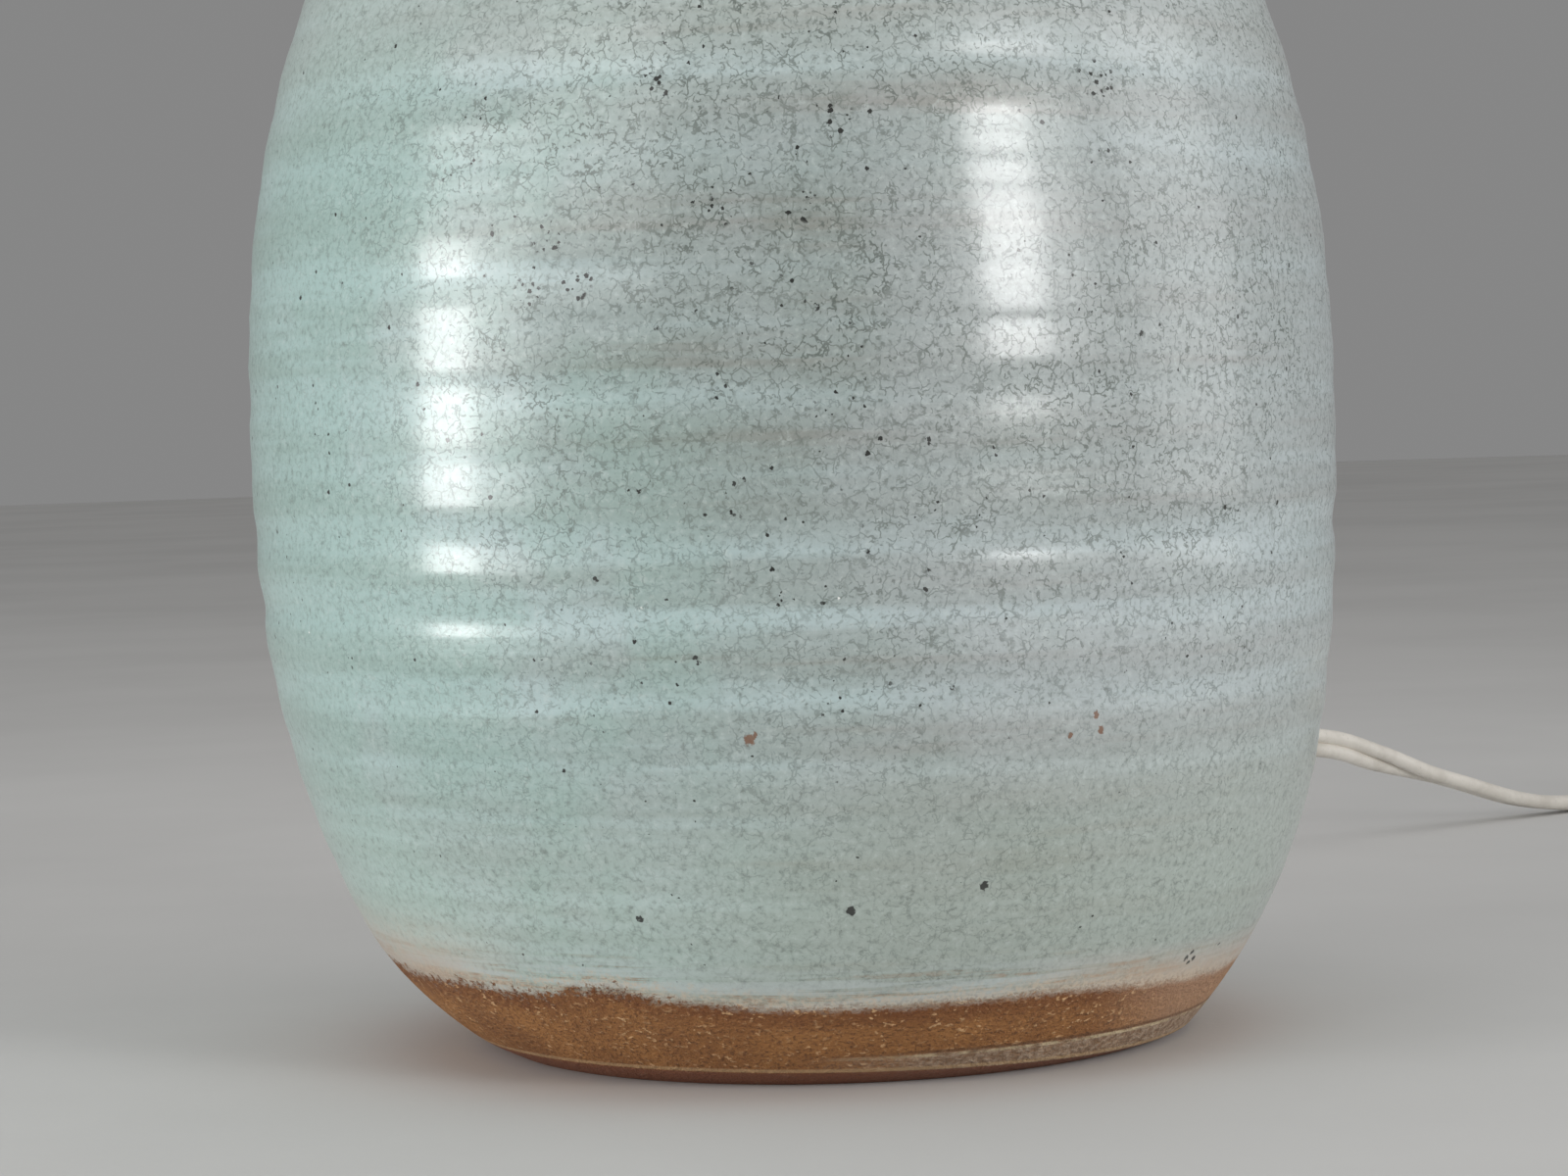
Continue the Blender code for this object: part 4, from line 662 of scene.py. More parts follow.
def make_body():
    """The wall, ring by ring, with marks on its vertices that the material reads."""
    angles = TURN * np.arange(COLUMNS) / COLUMNS
    front = wrapped(np.degrees(angles) + 90)
    rises = [np.interp(wrapped(front + turn), *zip(*LIP_RISE)) for turn in LIP_BLUR]
    rise = sum(rises) * MM / len(rises)
    lip_height = CHAMFER_HEIGHT + rise
    edge = np.interp(front, *zip(*GLAZE_EDGE)) * MM
    bm = bmesh.new()
    rings = []
    marks = {"furrow": [], "above_edge": [], "above_lip": []}

    def ring(radius, height, shift=0.0, furrow=0.0, above=None):
        x, y = shift + radius * np.cos(angles), radius * np.sin(angles)
        places = np.column_stack(np.broadcast_arrays(x, y, height))
        rings.append([bm.verts.new(place) for place in places.tolist()])
        above = height - edge if above is None else above
        for mark, values in zip(marks.values(), (furrow, above, height - lip_height)):
            mark.append(np.broadcast_to(values, COLUMNS))

    for radius, height in neck_outline():
        ring(radius, height)
    for radius, height, shift in outer_rows():
        fade = eased(height, NECK_ROOT, NECK_ROOT - FURROW_FADE)
        fade *= eased(height, FURROW_FOOT, FURROW_FOOT + FURROW_FADE)
        depth = furrow_depth(height, radius * np.cos(angles), angles) * fade
        depth += fine_wander(angles, height) * eased(height, CHAMFER_HEIGHT, CHAMFER_HEIGHT + WANDER_FADE)
        if height < LIP_FADE_HEIGHT:
            radius, height, shift = wall_places(height, rise)
        ring(radius - depth, height, shift, depth / FULL_FURROW)
    edge_radius, _, edge_shift = outer_rows()[-1]
    foot_radius = edge_radius - CHAMFER_WIDTH
    for share in CHAMFER_SHARES:
        across = radius + (foot_radius - radius) * share**CHAMFER_CURVE
        ring(across, lip_height * (1 - share), shift + (edge_shift - shift) * share)
    for radius, height in foot_outline(foot_radius):
        ring(radius, height, edge_shift)
    outside = len(rings)
    for radius, height in inside_outline():
        ring(radius, height, above=BELOW_EDGE)
    poles = ((edge_shift, 0, FOOT_RECESS), (0, 0, FOOT_RECESS + FLOOR_THICKNESS))
    bridge(bm, rings[:outside] + [[bm.verts.new(place)] for place in poles] + rings[outside:])
    piece = new_piece("stoneware_body", bm, "ceramic_body", sharp=BODY_SHARP)
    for (name, mark), fill in zip(marks.items(), (0.0, BELOW_EDGE, BELOW_LIP)):
        layer = piece.data.attributes.new(name, "FLOAT", "POINT")
        layer.data.foreach_set("value", np.concatenate([*mark, [fill, fill]]).astype(np.float32))


# The glaze where it is thin, of middling depth and thick
GLAZE_THIN = (141, 141, 133)
GLAZE_MIDDLE = (158, 171, 168)
GLAZE_THICK = (182, 201, 202)
COAT_WEIGHT = 0.6
# Iron spots, rust dots, chips painted as white glints, and crowds of pits: degrees to the right of the front,
# height and radius in mm
IRON_SPOTS = (
    (-12.6, 125.0, 0.55), (35.2, 122.1, 0.55), (55.6, 166.3, 0.5), (53.6, 157.6, 0.6), (14.1, 67.2, 0.55),
    (17.6, 34.8, 0.9), (3.1, 31.9, 0.9), (-20.0, 31.0, 0.7), (51.3, 17.5, 0.62), (52.1, 18.3, 0.55),
    (53.2, 17.1, 0.62), (52.3, 16.5, 0.5), (59.1, 18.6, 0.5), (40.0, 116.0, 0.5), (12.0, 86.0, 0.5),
    (-3.7, 102.4, 0.4), (-4.9, 101.1, 0.5), (-5.7, 100.5, 0.5), (-6.6, 99.2, 0.35), (-7.3, 97.9, 0.3),
    (-19.4, 86.1, 0.45), (-12.6, 82.5, 0.5), (-14.8, 99.8, 0.42), (-10.2, 73.4, 0.45), (-10.0, 72.6, 0.4),
    (-15.7, 69.6, 0.5), (-5.9, 68.2, 0.4), (3.8, 72.4, 0.38), (11.8, 82.9, 0.5), (12.3, 106.3, 0.45),
    (12.4, 105.6, 0.42), (-11.5, 161.6, 0.55), (3.9, 156.2, 0.4), (-14.7, 147.7, 0.4), (-8.7, 127.6, 0.4),
    (2.4, 127.7, 0.42), (2.4, 127.0, 0.42), (118.0, 92.0, 0.9), (160.0, 135.0, 0.8), (-150.0, 70.0, 0.9),
    (-118.0, 150.0, 0.8),
)
RUST_SPOTS = (
    (-5.8, 60.3, 1.1), (-5.2, 61.0, 0.6), (30.0, 59.1, 0.8), (29.4, 61.5, 0.7), (26.5, 58.6, 0.6),
    (-140.0, 52.0, 1.0), (150.0, 66.0, 0.9),
)
CHIP_GLINTS = ((-15.2, 81.2, 0.6), (-15.8, 81.0, 0.45), (3.6, 81.9, 0.5), (-60.0, 77.0, 0.5), (140.0, 110.0, 0.6))
PIT_CROWDS = (
    (-23.0, 140.3, 4.0), (-30.5, 140.6, 3.0), (-25.5, 131.4, 3.2), (-20.6, 131.8, 3.4), (-6.0, 142.5, 3.4),
    (1.2, 142.8, 3.0), (-13.0, 163.6, 3.0), (5.0, 156.5, 4.0), (-1.0, 82.0, 3.0), (33.0, 163.0, 4.0),
    (-160.0, 120.0, 4.0), (100.0, 140.0, 4.0),
)
# Crackle: scale, the edge's width from none to full, and the range of noise that breaks the lines
CRACKLE = ((700, 0.115, 0.035, 0.51, 0.58), (400, 0.066, 0.020, 0.44, 0.53))


def spots(look, table, near):
    """A mask that is 1 inside any of the spots."""
    masks = []
    for degrees, height, radius in table:
        angle = math.radians(degrees)
        out, _, shift = trimmed(wall_radius(height * MM), height * MM)
        middle = (shift + out * math.sin(angle), -out * math.cos(angle), height * MM)
        away = look.add("VectorMath", {0: near, 1: middle}, operation="DISTANCE").outputs["Value"]
        masks.append((away, radius * MM * 0.7, radius * MM, 1, 0))
    return look.most(*masks)


def stoneware_look():
    """Celadon crackle glaze over iron-bearing clay, with the clay bare above the foot."""
    look = Look("celadon_stoneware", 0.4, IOR=1.55, Coat_Roughness=0.16, Coat_IOR=1.55)
    noise = look.noise
    across, _, height = look.axes()
    streak = noise((22, 22, 460), 3, 0.55)
    broad = noise((10, 10, 70))
    cloud = noise(30, 3, 0.6)
    mottle = noise(820, 3, 0.65)
    thickness = look.plus(
        look.line(look.attribute("furrow"), 0.0, 1.0, 0.12, 0.85),
        look.line(streak, 0.3, 0.7, -0.16, 0.16),
        look.line(broad, 0.3, 0.7, -0.12, 0.14),
        look.line(cloud, 0.3, 0.7, -0.08, 0.08),
    )
    thickness = look.limited(thickness)
    # Painted light: a mask from left to right for the tints that the side lights put on the glaze
    side_light = look.plus((across, -0.09, 0.07), (cloud, 0.3, 0.7, -0.2, 0.2))
    # Painted shade: the front middle of the body, which lies between the two side lights
    middle = look.times(
        (across, -0.062, -0.015), (across, 0.085, 0.045), (height, 0.076, 0.100), (height, 0.176, 0.145)
    )
    crackle = crackle_mask(look, across, height)
    glaze = look.layers(
        GLAZE_THIN,
        (GLAZE_MIDDLE, (thickness, 0.0, 0.45)),
        (GLAZE_THICK, (thickness, 0.4, 1.0)),
        # Painted light: greener on the left and lavender-grey on the right, the tints of the side lights
        ((152, 190, 180), (side_light, 0.0, 0.5, 0.5, 0.0)),
        ((184, 186, 190), (side_light, 0.45, 1.0, 0.0, 0.45)),
        ((190, 208, 198), (height, 0.062, 0.028, 0, 0.42)),
        # Painted light: the next layer lightens the upper body where light falls from above and from the left
        ((194, 198, 194), (height, 0.150, 0.185, 0, 0.40)),
        ((218, 216, 208), (height, 0.182, 0.210, 0, 0.45)),
        # Painted shade: the middle of the body darkened
        ((126, 132, 126), middle, 0.27),
        ((138, 144, 124), (height, 0.070, 0.045), (across, -0.03, 0.02), 0.27),
        ((112, 121, 115), (mottle, 0.50, 0.74, 0, 0.55)),
        ((204, 214, 211), (mottle, 0.47, 0.28, 0, 0.30)),
        ((76, 86, 78), crackle, 0.8),
        ((22, 24, 19), speck_mask(look, height)),
    )
    glaze, cover, border = glaze_edge(look, glaze, across)
    near = look.jitter(1500, 0.0013)
    iron, rust, chip_glints = (spots(look, table, near) for table in (IRON_SPOTS, RUST_SPOTS, CHIP_GLINTS))
    glaze = look.layers(
        # Painted highlight: small chips in the glaze, painted as white glints
        glaze, ((22, 23, 18), iron, 0.95), ((118, 74, 42), rust, 0.85), ((236, 238, 234), chip_glints)
    )
    clay, clay_relief = bare_clay(look, across, height, border)
    uncovered = look.less(1.0, cover)
    gloss = look.plus(
        (noise(60, 3), 0.3, 0.75, 0.36, 0.44),
        look.times(look.most(crackle, iron), 0.2),
        look.times(uncovered, 0.4),
    )
    relief = look.plus(
        look.times(look.plus(look.times(mottle, -0.3), look.times(streak, 0.4)), cover),
        look.times(clay_relief, uncovered, 3.5),
        look.times(cover, 1.4),
    )
    return look.finish(
        relief,
        0.0002,
        Base_Color=look.layers(clay, (glaze, cover)),
        Roughness=look.limited(gloss),
        Coat_Weight=look.times(cover, COAT_WEIGHT),
    )


def crackle_mask(look, across, height):
    """Short, wandering pieces of crackle line round small cells, and longer ones round larger cells."""
    shaken = look.jitter(900, 0.0013)
    lines = []
    for scale, none, full, low, high in CRACKLE:
        edge = look.cells(shaken, scale, "DISTANCE_TO_EDGE")["Distance"]
        lines.append(look.times((edge, none, full), (look.noise(scale * 1.2), low, high)))
    return look.times(
        look.most(*lines),
        (look.noise(24, 3), 0.36, 0.64, 0.65, 1.0),
        (look.noise(200), 0.35, 0.65, 0.55, 1.0),
        (across, -0.085, -0.03, 0.35, 1.0),
        (height, 0.03, 0.12, 0.4, 1.0),
    )


def speck_mask(look, height):
    """Small dark pits of unlike size, some of them in clusters and crowds, fewer of them low down."""
    shaken = look.jitter(2200, 0.0006)
    clusters = (look.noise(55), 0.52, 0.60)
    crowds = spots(look, PIT_CROWDS, look.jitter(250, 0.004))
    high_up = look.ramp(height, 0.03, 0.09, 0.6, 1.0)
    masks = []
    for scale, smallest, largest, share in (
        (240, -0.02, 0.10, 1.0),
        (460, 0.02, 0.15, clusters),
        (820, 0.10, 0.38, crowds),
    ):
        cell = look.cells(shaken, scale)
        chance = look.add("SeparateColor", {0: cell["Color"]}).outputs[1]
        reach = look.times(look.line(chance, 0.0, 1.0, smallest, largest), high_up)
        masks.append(look.times((look.less(reach, cell["Distance"]), -0.015, 0.012), share))
    return look.most(*masks)


def glaze_edge(look, glaze, across):
    """Pale streaks, brown lines and a mottled border where the glaze thins out above the clay."""
    above = look.attribute("above_edge")
    thin = look.noise((30, 30, 800), 3, 0.65)
    ragged = look.noise((260, 260, 520), 4, 0.75)
    grain = look.noise(1050, 3, 0.7)
    sides = look.most((across, 0.028, 0.060), (across, -0.052, -0.066, 0, 0.8))
    uneven = look.plus(
        look.line(ragged, 0.25, 0.75, -0.0015, 0.0015), look.line(grain, 0.3, 0.7, -0.0016, 0.0016)
    )
    border = look.plus(above, look.times(uneven, (across, -0.045, 0.0, 1.0, 0.4)))
    glaze = look.layers(
        glaze,
        ((204, 186, 168), (above, 0.016, 0.001), (across, -0.040, -0.072), (ragged, 0.25, 0.65, 0.3, 0.8)),
        ((204, 214, 216), (above, 0.010, 0.0005), (thin, 0.42, 0.58), 0.6),
        ((166, 132, 104), (above, 0.009, 0.0015), (thin, 0.455, 0.38), (ragged, 0.42, 0.56), 0.75),
        ((192, 170, 150), (above, 0.0085, 0.0005), sides, (ragged, 0.25, 0.65, 0.55, 0.95)),
        ((208, 192, 170), (border, 0.0040, 0.0004), (grain, 0.62, 0.35, 0.2, 1.0), 0.85),
        ((150, 112, 78), (border, 0.0026, 0.0002), (grain, 0.48, 0.62), 0.8),
    )
    return glaze, look.ramp(border, -0.0009, 0.0009), border


def bare_clay(look, across, height, border):
    """Orange-brown fired clay with sandy flecks, greyer low down on the right, with a painted highlight along
    the lip and painted shade on the chamfer.
    """
    noise = look.noise
    above_lip = look.attribute("above_lip")
    blotch = noise(70, 3, 0.65)
    flecks = noise((760, 760, 1050), 2, 0.6)
    sand = noise(1300, 3, 0.75)
    patchy = (noise(150, 3), 0.42, 0.62, 0.25, 1.0)
    broken = (noise(260, 3), 0.4, 0.6, 0.1, 0.8)
    right = look.ramp(across, -0.005, 0.025)
    grey = look.layers((132, 108, 86), ((176, 156, 136), (flecks, 0.35, 0.65)))
    clay = look.layers(
        (146, 97, 52),
        ((168, 116, 64), (blotch, 0.35, 0.65)),
        ((98, 60, 32), (sand, 0.49, 0.66, 0, 0.8)),
        ((116, 66, 28), (border, -0.0050, -0.0006), (blotch, 0.3, 0.6, 0.4, 0.95)),
        ((224, 182, 134), (flecks, 0.58, 0.68), patchy, 0.85),
        ((206, 160, 108), (sand, 0.37, 0.28, 0, 0.8)),
        ((182, 146, 118), (across, 0.044, 0.064, 0, 0.65)),
        (grey, right, (height, 0.0062, 0.0052), (sand, 0.3, 0.6, 0.6, 0.95)),
        ((92, 60, 36), (height, 0.0056, 0.0059), (height, 0.0066, 0.0061), right, 0.6),
        ((212, 194, 158), (height, 0.0049, 0.0052), (height, 0.0058, 0.0055), right, broken),
        # Painted highlight: a thin pale line along the lip's edge
        ((204, 172, 130), (above_lip, -0.0002, 0.0001), (above_lip, 0.0008, 0.0004), 0.6),
        # Painted shade: the downward-facing chamfer, darker than the clay above it
        ((132, 80, 58), (above_lip, 0.0, -0.0003, 0, 0.85)),
    )
    return clay, look.plus(look.times(flecks, 0.8), look.times(sand, 0.7))


LOOKS["glazed_stoneware"] = stoneware_look()
make_body()


# Materials of the fittings
def brass_look():
    """Lacquered brass with turning lines, a little tarnish and small darker patches."""
    look = Look("aged_brass", 0.26, Metallic=1.0)
    tarnish = look.noise(70, 5, 0.62)
    shade = look.layers(
        (212, 176, 108),
        ((184, 142, 80), (tarnish, 0.35, 0.7)),
        ((124, 92, 54), (look.noise(420, 3), 0.62, 0.78, 0, 0.5)),
    )
    gloss = look.ramp(tarnish, 0.25, 0.8, 0.2, 0.42)
    return look.finish(look.noise((40, 40, 2600)), 0.00003, Base_Color=shade, Roughness=gloss)


def steel_look():
    """Zinc-plated steel with a faint spangle in its gloss."""
    look = Look("zinc_steel", 0.35, Metallic=1.0)
    wear = look.noise(220, 4)
    shade = look.layers((176, 176, 178), ((142, 141, 140), (wear, 0.35, 0.7)))
    tone = look.add("SeparateColor", {0: look.cells(look.place, 600)["Color"]}).outputs[0]
    return look.finish(wear, 0.00004, Base_Color=shade, Roughness=look.line(tone, 0, 1, 0.28, 0.45))


def moulded_look(name, light, dark, roughness, grain=900, depth=0.00003):
    """A moulded material with a faint cloud in its colour and a fine grain."""
    look = Look(name, roughness)
    fine = look.noise(grain)
    shade = look.layers(light, (dark, (look.noise(60, 4, 0.6), 0.3, 0.7)))
    gloss = look.line(fine, 0.2, 0.8, roughness * 0.85, roughness * 1.2)
    return look.finish(fine, depth, Base_Color=shade, Roughness=gloss)


def aluminium_look():
    look = Look("rolled_aluminium", 0.3, Metallic=1.0)
    scuffs = look.noise((60, 60, 1800), 3)
    shade = look.layers((205, 206, 208), ((176, 176, 178), (scuffs, 0.3, 0.7)))
    return look.finish(scuffs, 0.00004, Base_Color=shade, Roughness=look.line(scuffs, 0.2, 0.8, 0.24, 0.42))


def frosted_glass_look():
    """White frosted bulb glass, a little denser towards its neck."""
    coat = {"Coat_Weight": 0.35, "Coat_Roughness": 0.08}
    depth = {"Subsurface_Weight": 0.15, "Subsurface_Radius": (0.004, 0.004, 0.003)}
    look = Look("frosted_glass", 0.22, **depth, **coat)
    mist = look.noise(50, 3)
    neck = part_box("bulb_glass")[0][2]
    shade = look.layers(
        (238, 236, 230),
        ((228, 226, 219), (mist, 0.3, 0.7)),
        ((206, 203, 194), (look.axes()[2], neck, neck + 0.035, 0.35, 0)),
    )
    gloss = look.line(mist, 0.2, 0.8, 0.18, 0.28)
    return look.finish(look.noise(1800), 0.00001, Base_Color=shade, Roughness=gloss)


LOOKS.update(
    brass=brass_look(),
    steel=steel_look(),
    aluminium=aluminium_look(),
    opal_glass=frosted_glass_look(),
    gasket_rubber=moulded_look("black_rubber", (40, 40, 41), (28, 28, 29), 0.7, 700, 0.00008),
    phenolic=moulded_look("brown_phenolic", (44, 32, 27), (30, 21, 18), 0.22, 500, 0.00001),
    porcelain=moulded_look("pressed_porcelain", (226, 221, 210), (211, 204, 190), 0.45, 600, 0.00004),
    fibre=moulded_look("pressed_fibre", (126, 92, 62), (98, 68, 44), 0.85, 500, 0.0002),
    plug_plastic=moulded_look("ivory_moulding", (226, 221, 210), (212, 205, 192), 0.36, 1100, 0.00004),
    relief_rubber=moulded_look("ivory_rubber", (220, 215, 204), (202, 195, 182), 0.6, 900, 0.00008),
    tie_plastic=moulded_look("black_strap", (34, 34, 36), (22, 22, 24), 0.55, 1400, 0.0001),
    vitrite=moulded_look("black_vitrite", (20, 20, 24), (10, 10, 12), 0.12, 400, 0.00001),
    clear_glass=moulded_look("stem_glass", (214, 222, 222), (198, 208, 208), 0.08, 300, 0.00001),
    tungsten=moulded_look("tungsten_wire", (110, 110, 114), (84, 84, 88), 0.4, 900, 0.00002),
    live_sleeve=moulded_look("black_core", (36, 36, 37), (24, 24, 25), 0.4),
    neutral_sleeve=moulded_look("white_core", (222, 220, 212), (208, 205, 196), 0.4),
)
for node, part in frame["nodes"].items():
    part.data.materials.clear()
    part.data.materials.append(LOOKS[SLOTS[node]].material)


# The neck fittings
NIPPLE_HOLE = 0.0068


def span(node):
    """The bottom, the top and half the width of a node."""
    low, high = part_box(node)
    return low[2], high[2], (high[0] - low[0]) / 2


def make_gasket():
    bottom, top, radius = span("neck_gasket")
    bore = NECK_BORE + GAP
    points = [(bore, top), (radius, top), (radius, bottom), (bore, bottom)]
    new_piece("gasket", lathe(softened(points, 0.4 * MM)), "neck_gasket")


def make_vase_cap():
    """A spun brass cap: a flat crown, a soft step and a rolled skirt over the neck."""
    bottom, top, radius = span("vase_cap")
    sheet = 1.0
    crown = ((11.8, 0), (13.2, -0.4), (14.6, -1.6), (16.0, -3.4), (18.0, -4.4), (20.5, -4.9), (22.2, -5.5))
    points = outline(
        (NIPPLE_HOLE, top, (0, 0)),
        (0, top, *crown),
        (radius, top, (-0.3, -6.7)),
        (radius, bottom, (-0.25, 1.6), (0, 1.1), (0, 0.3), (-0.3, 0), (0.2 - sheet, 0), (-sheet, 0.4)),
        (radius, top, (-sheet, -6)),
        (0, top, (16, -6), (12, -sheet)),
        (NIPPLE_HOLE, top, (0, -sheet)),
    )
    new_piece("vase_cap_spun", lathe(softened(points, 0.25 * MM, 2), 128), "vase_cap")


def make_spool():
    """A turned brass spacer with a bead at each end and a waist."""
    bottom, top, radius = span("neck_spool")
    bead = 1.25 * MM
    waist = []
    for share in np.arange(1, 10) / 10:
        height = top - 2 * bead - (top - bottom - 4 * bead) * share
        waist.append((0.0088 + 0.0009 * (2 * share - 1) ** 4, height))
    points = [
        *outline((NIPPLE_HOLE, top, (0, 0)), (radius, top, (-1.2, 0))),
        *arc(radius - bead, top - bead, bead, 90, -90, 9),
        *waist,
        *arc(radius - bead, bottom + bead, bead, 90, -90, 9),
        (NIPPLE_HOLE, bottom),
    ]
    new_piece("neck_spool_turned", lathe(points, 112), "neck_spool")


# The lampholder
SHELL_PITCH = 0.0031
THREAD_PITCH = 0.00363
THREAD_ROOT = 0.01225
THREAD_DEPTH = 0.0008
SPINDLE_HEIGHT = sum(corner[2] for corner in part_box("switch_spindle")) / 2
SPINDLE_PLACE = Matrix.Translation((0, 0, SPINDLE_HEIGHT)) @ Matrix.Rotation(math.pi / 2, 4, "Y")


def threaded(root, pitch, low, high, fade, helix=0, power=1):
    """A shape for lathe that rolls a thread into the rows that lie at a radius, between two heights."""

    def shape(r, height, angle):
        if abs(r - root) > 1e-6 or not low < height < high:
            return r
        share = min(1.0, (high - height) / fade, (height - low) / fade)
        return r + THREAD_DEPTH * share * wave(height / pitch - helix * angle / TURN) ** power

    return shape


def make_holder_cap():
    """The cup of the lampholder, with a hub round the threaded tube and a rolled rim."""
    bottom, top, radius = span("lampholder_cap")
    sheet = 0.9
    floor = bottom + 0.0095
    wall = floor + 0.005
    points = outline(
        (radius, top, (-sheet, 0), (-0.2, 0), (0, -0.4), (0, -1.2), (-0.3, -1.7)),
        (radius, wall, (-0.3, 1), (-0.5, -0.6), (-1.6, -2.2)),
        (0, floor, (13.5, 0.6), (11.5, -0.5), (10, -2), (9.5, -3.2)),
        (0, bottom, (9.5, 1), (9.2, 0.2), (8.8, 0)),
        (NIPPLE_HOLE, bottom, (0, 0)),
        (NIPPLE_HOLE, floor, (0, 0)),
        (0, floor, (8, 0.45), (12.7, 2)),
        (radius, wall, (-sheet, sheet)),
    )
    new_piece("lampholder_cup", lathe(softened(points, 0.35 * MM, 2), 128), "lampholder_cap")


def make_shell():
    """The outer shell: plain below, a ledge for a shade, and a rolled thread above it."""
    bottom, top, ledge = span("lampholder_shell")
    radius = 0.0163
    sheet = 0.8
    root = 0.0164
    ledge_top = bottom + 0.0265
    thread_top = top - 0.6 * MM
    thread_bottom = ledge_top + 0.7 * MM
    points = [
        *outline((radius, top, (-sheet, 0), (0, 0), (0.1, -0.3))),
        *np.linspace((root, thread_top), (root, thread_bottom), 35),
        *outline(
            (radius, ledge_top, (0.3, 0)),
            (ledge, ledge_top, (-0.4, 0), (0, -0.4), (0, -1.2), (-0.4, -1.6)),
            (radius, ledge_top, (0.5, -1.6), (0, -2.1)),
            (radius, bottom, (0, 0.2), (-0.2, 0), (-sheet, 0)),
        ),
    ]
    thread = threaded(root, SHELL_PITCH, thread_bottom, thread_top, MM, 1, 0.7)
    shell = new_piece("lampholder_shell_rolled", lathe(points, 128, thread), "lampholder_shell")
    hole = 0.0031
    cut_from(shell, lathe([(0, 0.019), (hole, 0.019), (hole, 0.012), (0, 0.012)], 40, place=SPINDLE_PLACE))


def cut_from(piece, tool):
    """Take a closed mesh away from a piece."""
    bmesh.ops.recalc_face_normals(tool, faces=tool.faces)
    cutter = new_object("cutter", to_mesh("cutter", tool))
    cut = piece.modifiers.new("cut", "BOOLEAN")
    cut.operation = "DIFFERENCE"
    cut.solver = "EXACT"
    cut.object = cutter
    graph = bpy.context.evaluated_depsgraph_get()
    result = bpy.data.meshes.new_from_object(piece.evaluated_get(graph), depsgraph=graph)
    piece.modifiers.clear()
    bpy.data.objects.remove(cutter, do_unlink=True)
    bm = bmesh.new()
    bm.from_mesh(result)
    bmesh.ops.dissolve_degenerate(bm, dist=0.002 * MM, edges=bm.edges)
    bm.to_mesh(result)
    bm.free()
    piece.data = result
    smooth(result)


def make_set_screw():
    """A slotted screw in the hub, facing the front."""
    low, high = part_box("holder_set_screw")
    radius = (high[0] - low[0]) / 2
    head = -low[1]
    root = -high[1]
    middle = Matrix.Translation((0, 0, (low[2] + high[2]) / 2))
    points = [
        (0, head),
        *outline((radius, head, (-0.3, 0), (0, -0.3)), (radius, root, (0, 0.2), (-0.2, 0))),
        (0, root),
    ]
    bm = lathe(points, 32, place=middle @ Matrix.Rotation(math.pi / 2, 4, "X"))
    screw = new_piece("set_screw", bm, "holder_set_screw")
    slot = bmesh.new()
    bmesh.ops.create_cube(slot, size=1)
    size = Matrix.Diagonal((radius * 3, 0.0008, 0.0005, 1))
    bmesh.ops.transform(slot, matrix=middle @ Matrix.Translation((0, -head, 0)) @ size, verts=slot.verts)
    cut_from(screw, slot)


def make_screw_shell():
    """The thin brass screw shell inside the lampholder."""
    bottom, top, radius = span("screw_shell")
    sheet = 0.5 * MM
    wall = np.linspace((radius, bottom + 0.003), (radius, top), 49)
    points = [
        (0.0062, bottom),
        (radius - 0.7 * MM, bottom),
        *wall,
        *(wall[::-1] - (sheet, 0)),
        (radius - 1.2 * MM, bottom + sheet),
        (0.0062, bottom + sheet),
    ]

    def thread(r, height, angle):
        if min(abs(r - radius), abs(r - radius + sheet)) > 1e-7:
            return r
        return r - THREAD_DEPTH * (1 - wave(height / THREAD_PITCH))

    new_piece("screw_shell_rolled", lathe(points, 80, thread), "screw_shell")


def make_bulb_cap():
    """The bulb's rolled screw cap."""
    bottom, top, _ = span("bulb_cap")
    sheet = 0.5
    contact = 0.0042
    skirt = 0.0112 + GAP
    low = bottom + 1.2 * MM
    high = top - 0.006
    points = [
        *outline((contact, bottom, (0, 0)), (0, bottom, (9.5, 0)), (THREAD_ROOT, bottom, (-0.8, 0.5))),
        *np.linspace((THREAD_ROOT, low), (THREAD_ROOT, high), 61),
        *outline(
            (THREAD_ROOT, high, (0, 0.6)),
            (THREAD_ROOT, top, (0, -0.3), (-0.2, 0)),
            (skirt, top, (0, 0)),
            (skirt, high, (0, 0)),
            (THREAD_ROOT, high, (-2 * sheet, -1)),
            (THREAD_ROOT, bottom, (-2 * sheet, 1.6)),
            (0, bottom, (9.2, sheet)),
            (contact, bottom, (0, sheet)),
        ),
    ]
    thread = threaded(THREAD_ROOT, THREAD_PITCH, low, high, 2 * MM)
    new_piece("bulb_screw_cap", lathe(points, 96, thread), "bulb_cap")


def make_bulb_glass():
    """A neck that widens to a throat, and a shoulder that swells to the round end."""
    low, high, radius = span("bulb_glass")
    neck = 0.0112
    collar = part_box("bulb_cap")[1][2] + 0.9 * MM
    throat_radius = 0.0142
    throat = collar + 11.1 * MM
    centre = high - radius
    swell = np.sin(np.linspace(0, math.pi / 2, 24, endpoint=False))
    side = np.vstack([
        (neck, low),
        np.linspace((neck, collar), (throat_radius, throat), 7, endpoint=False),
        np.column_stack([
            throat_radius + (radius - throat_radius) * swell,
            np.linspace(throat, centre, 24, endpoint=False),
        ]),
        arc(0, centre, radius, 0, 86.25, 24),
    ])
    # The joints between the stretches are eased, with the ends kept
    for _ in range(6):
        side[2:-1] = (side[1:-2] + 2 * side[2:-1] + side[3:]) / 4
    thick = 0.9 * MM
    inner = [(max(r - thick, 0.002), min(z, high - thick)) for r, z in reversed(side)]
    bm = lathe([*side, (0, high), (0, high - thick), *inner], 112)
    new_piece("bulb_frosted", bm, "bulb_glass", sharp=60)


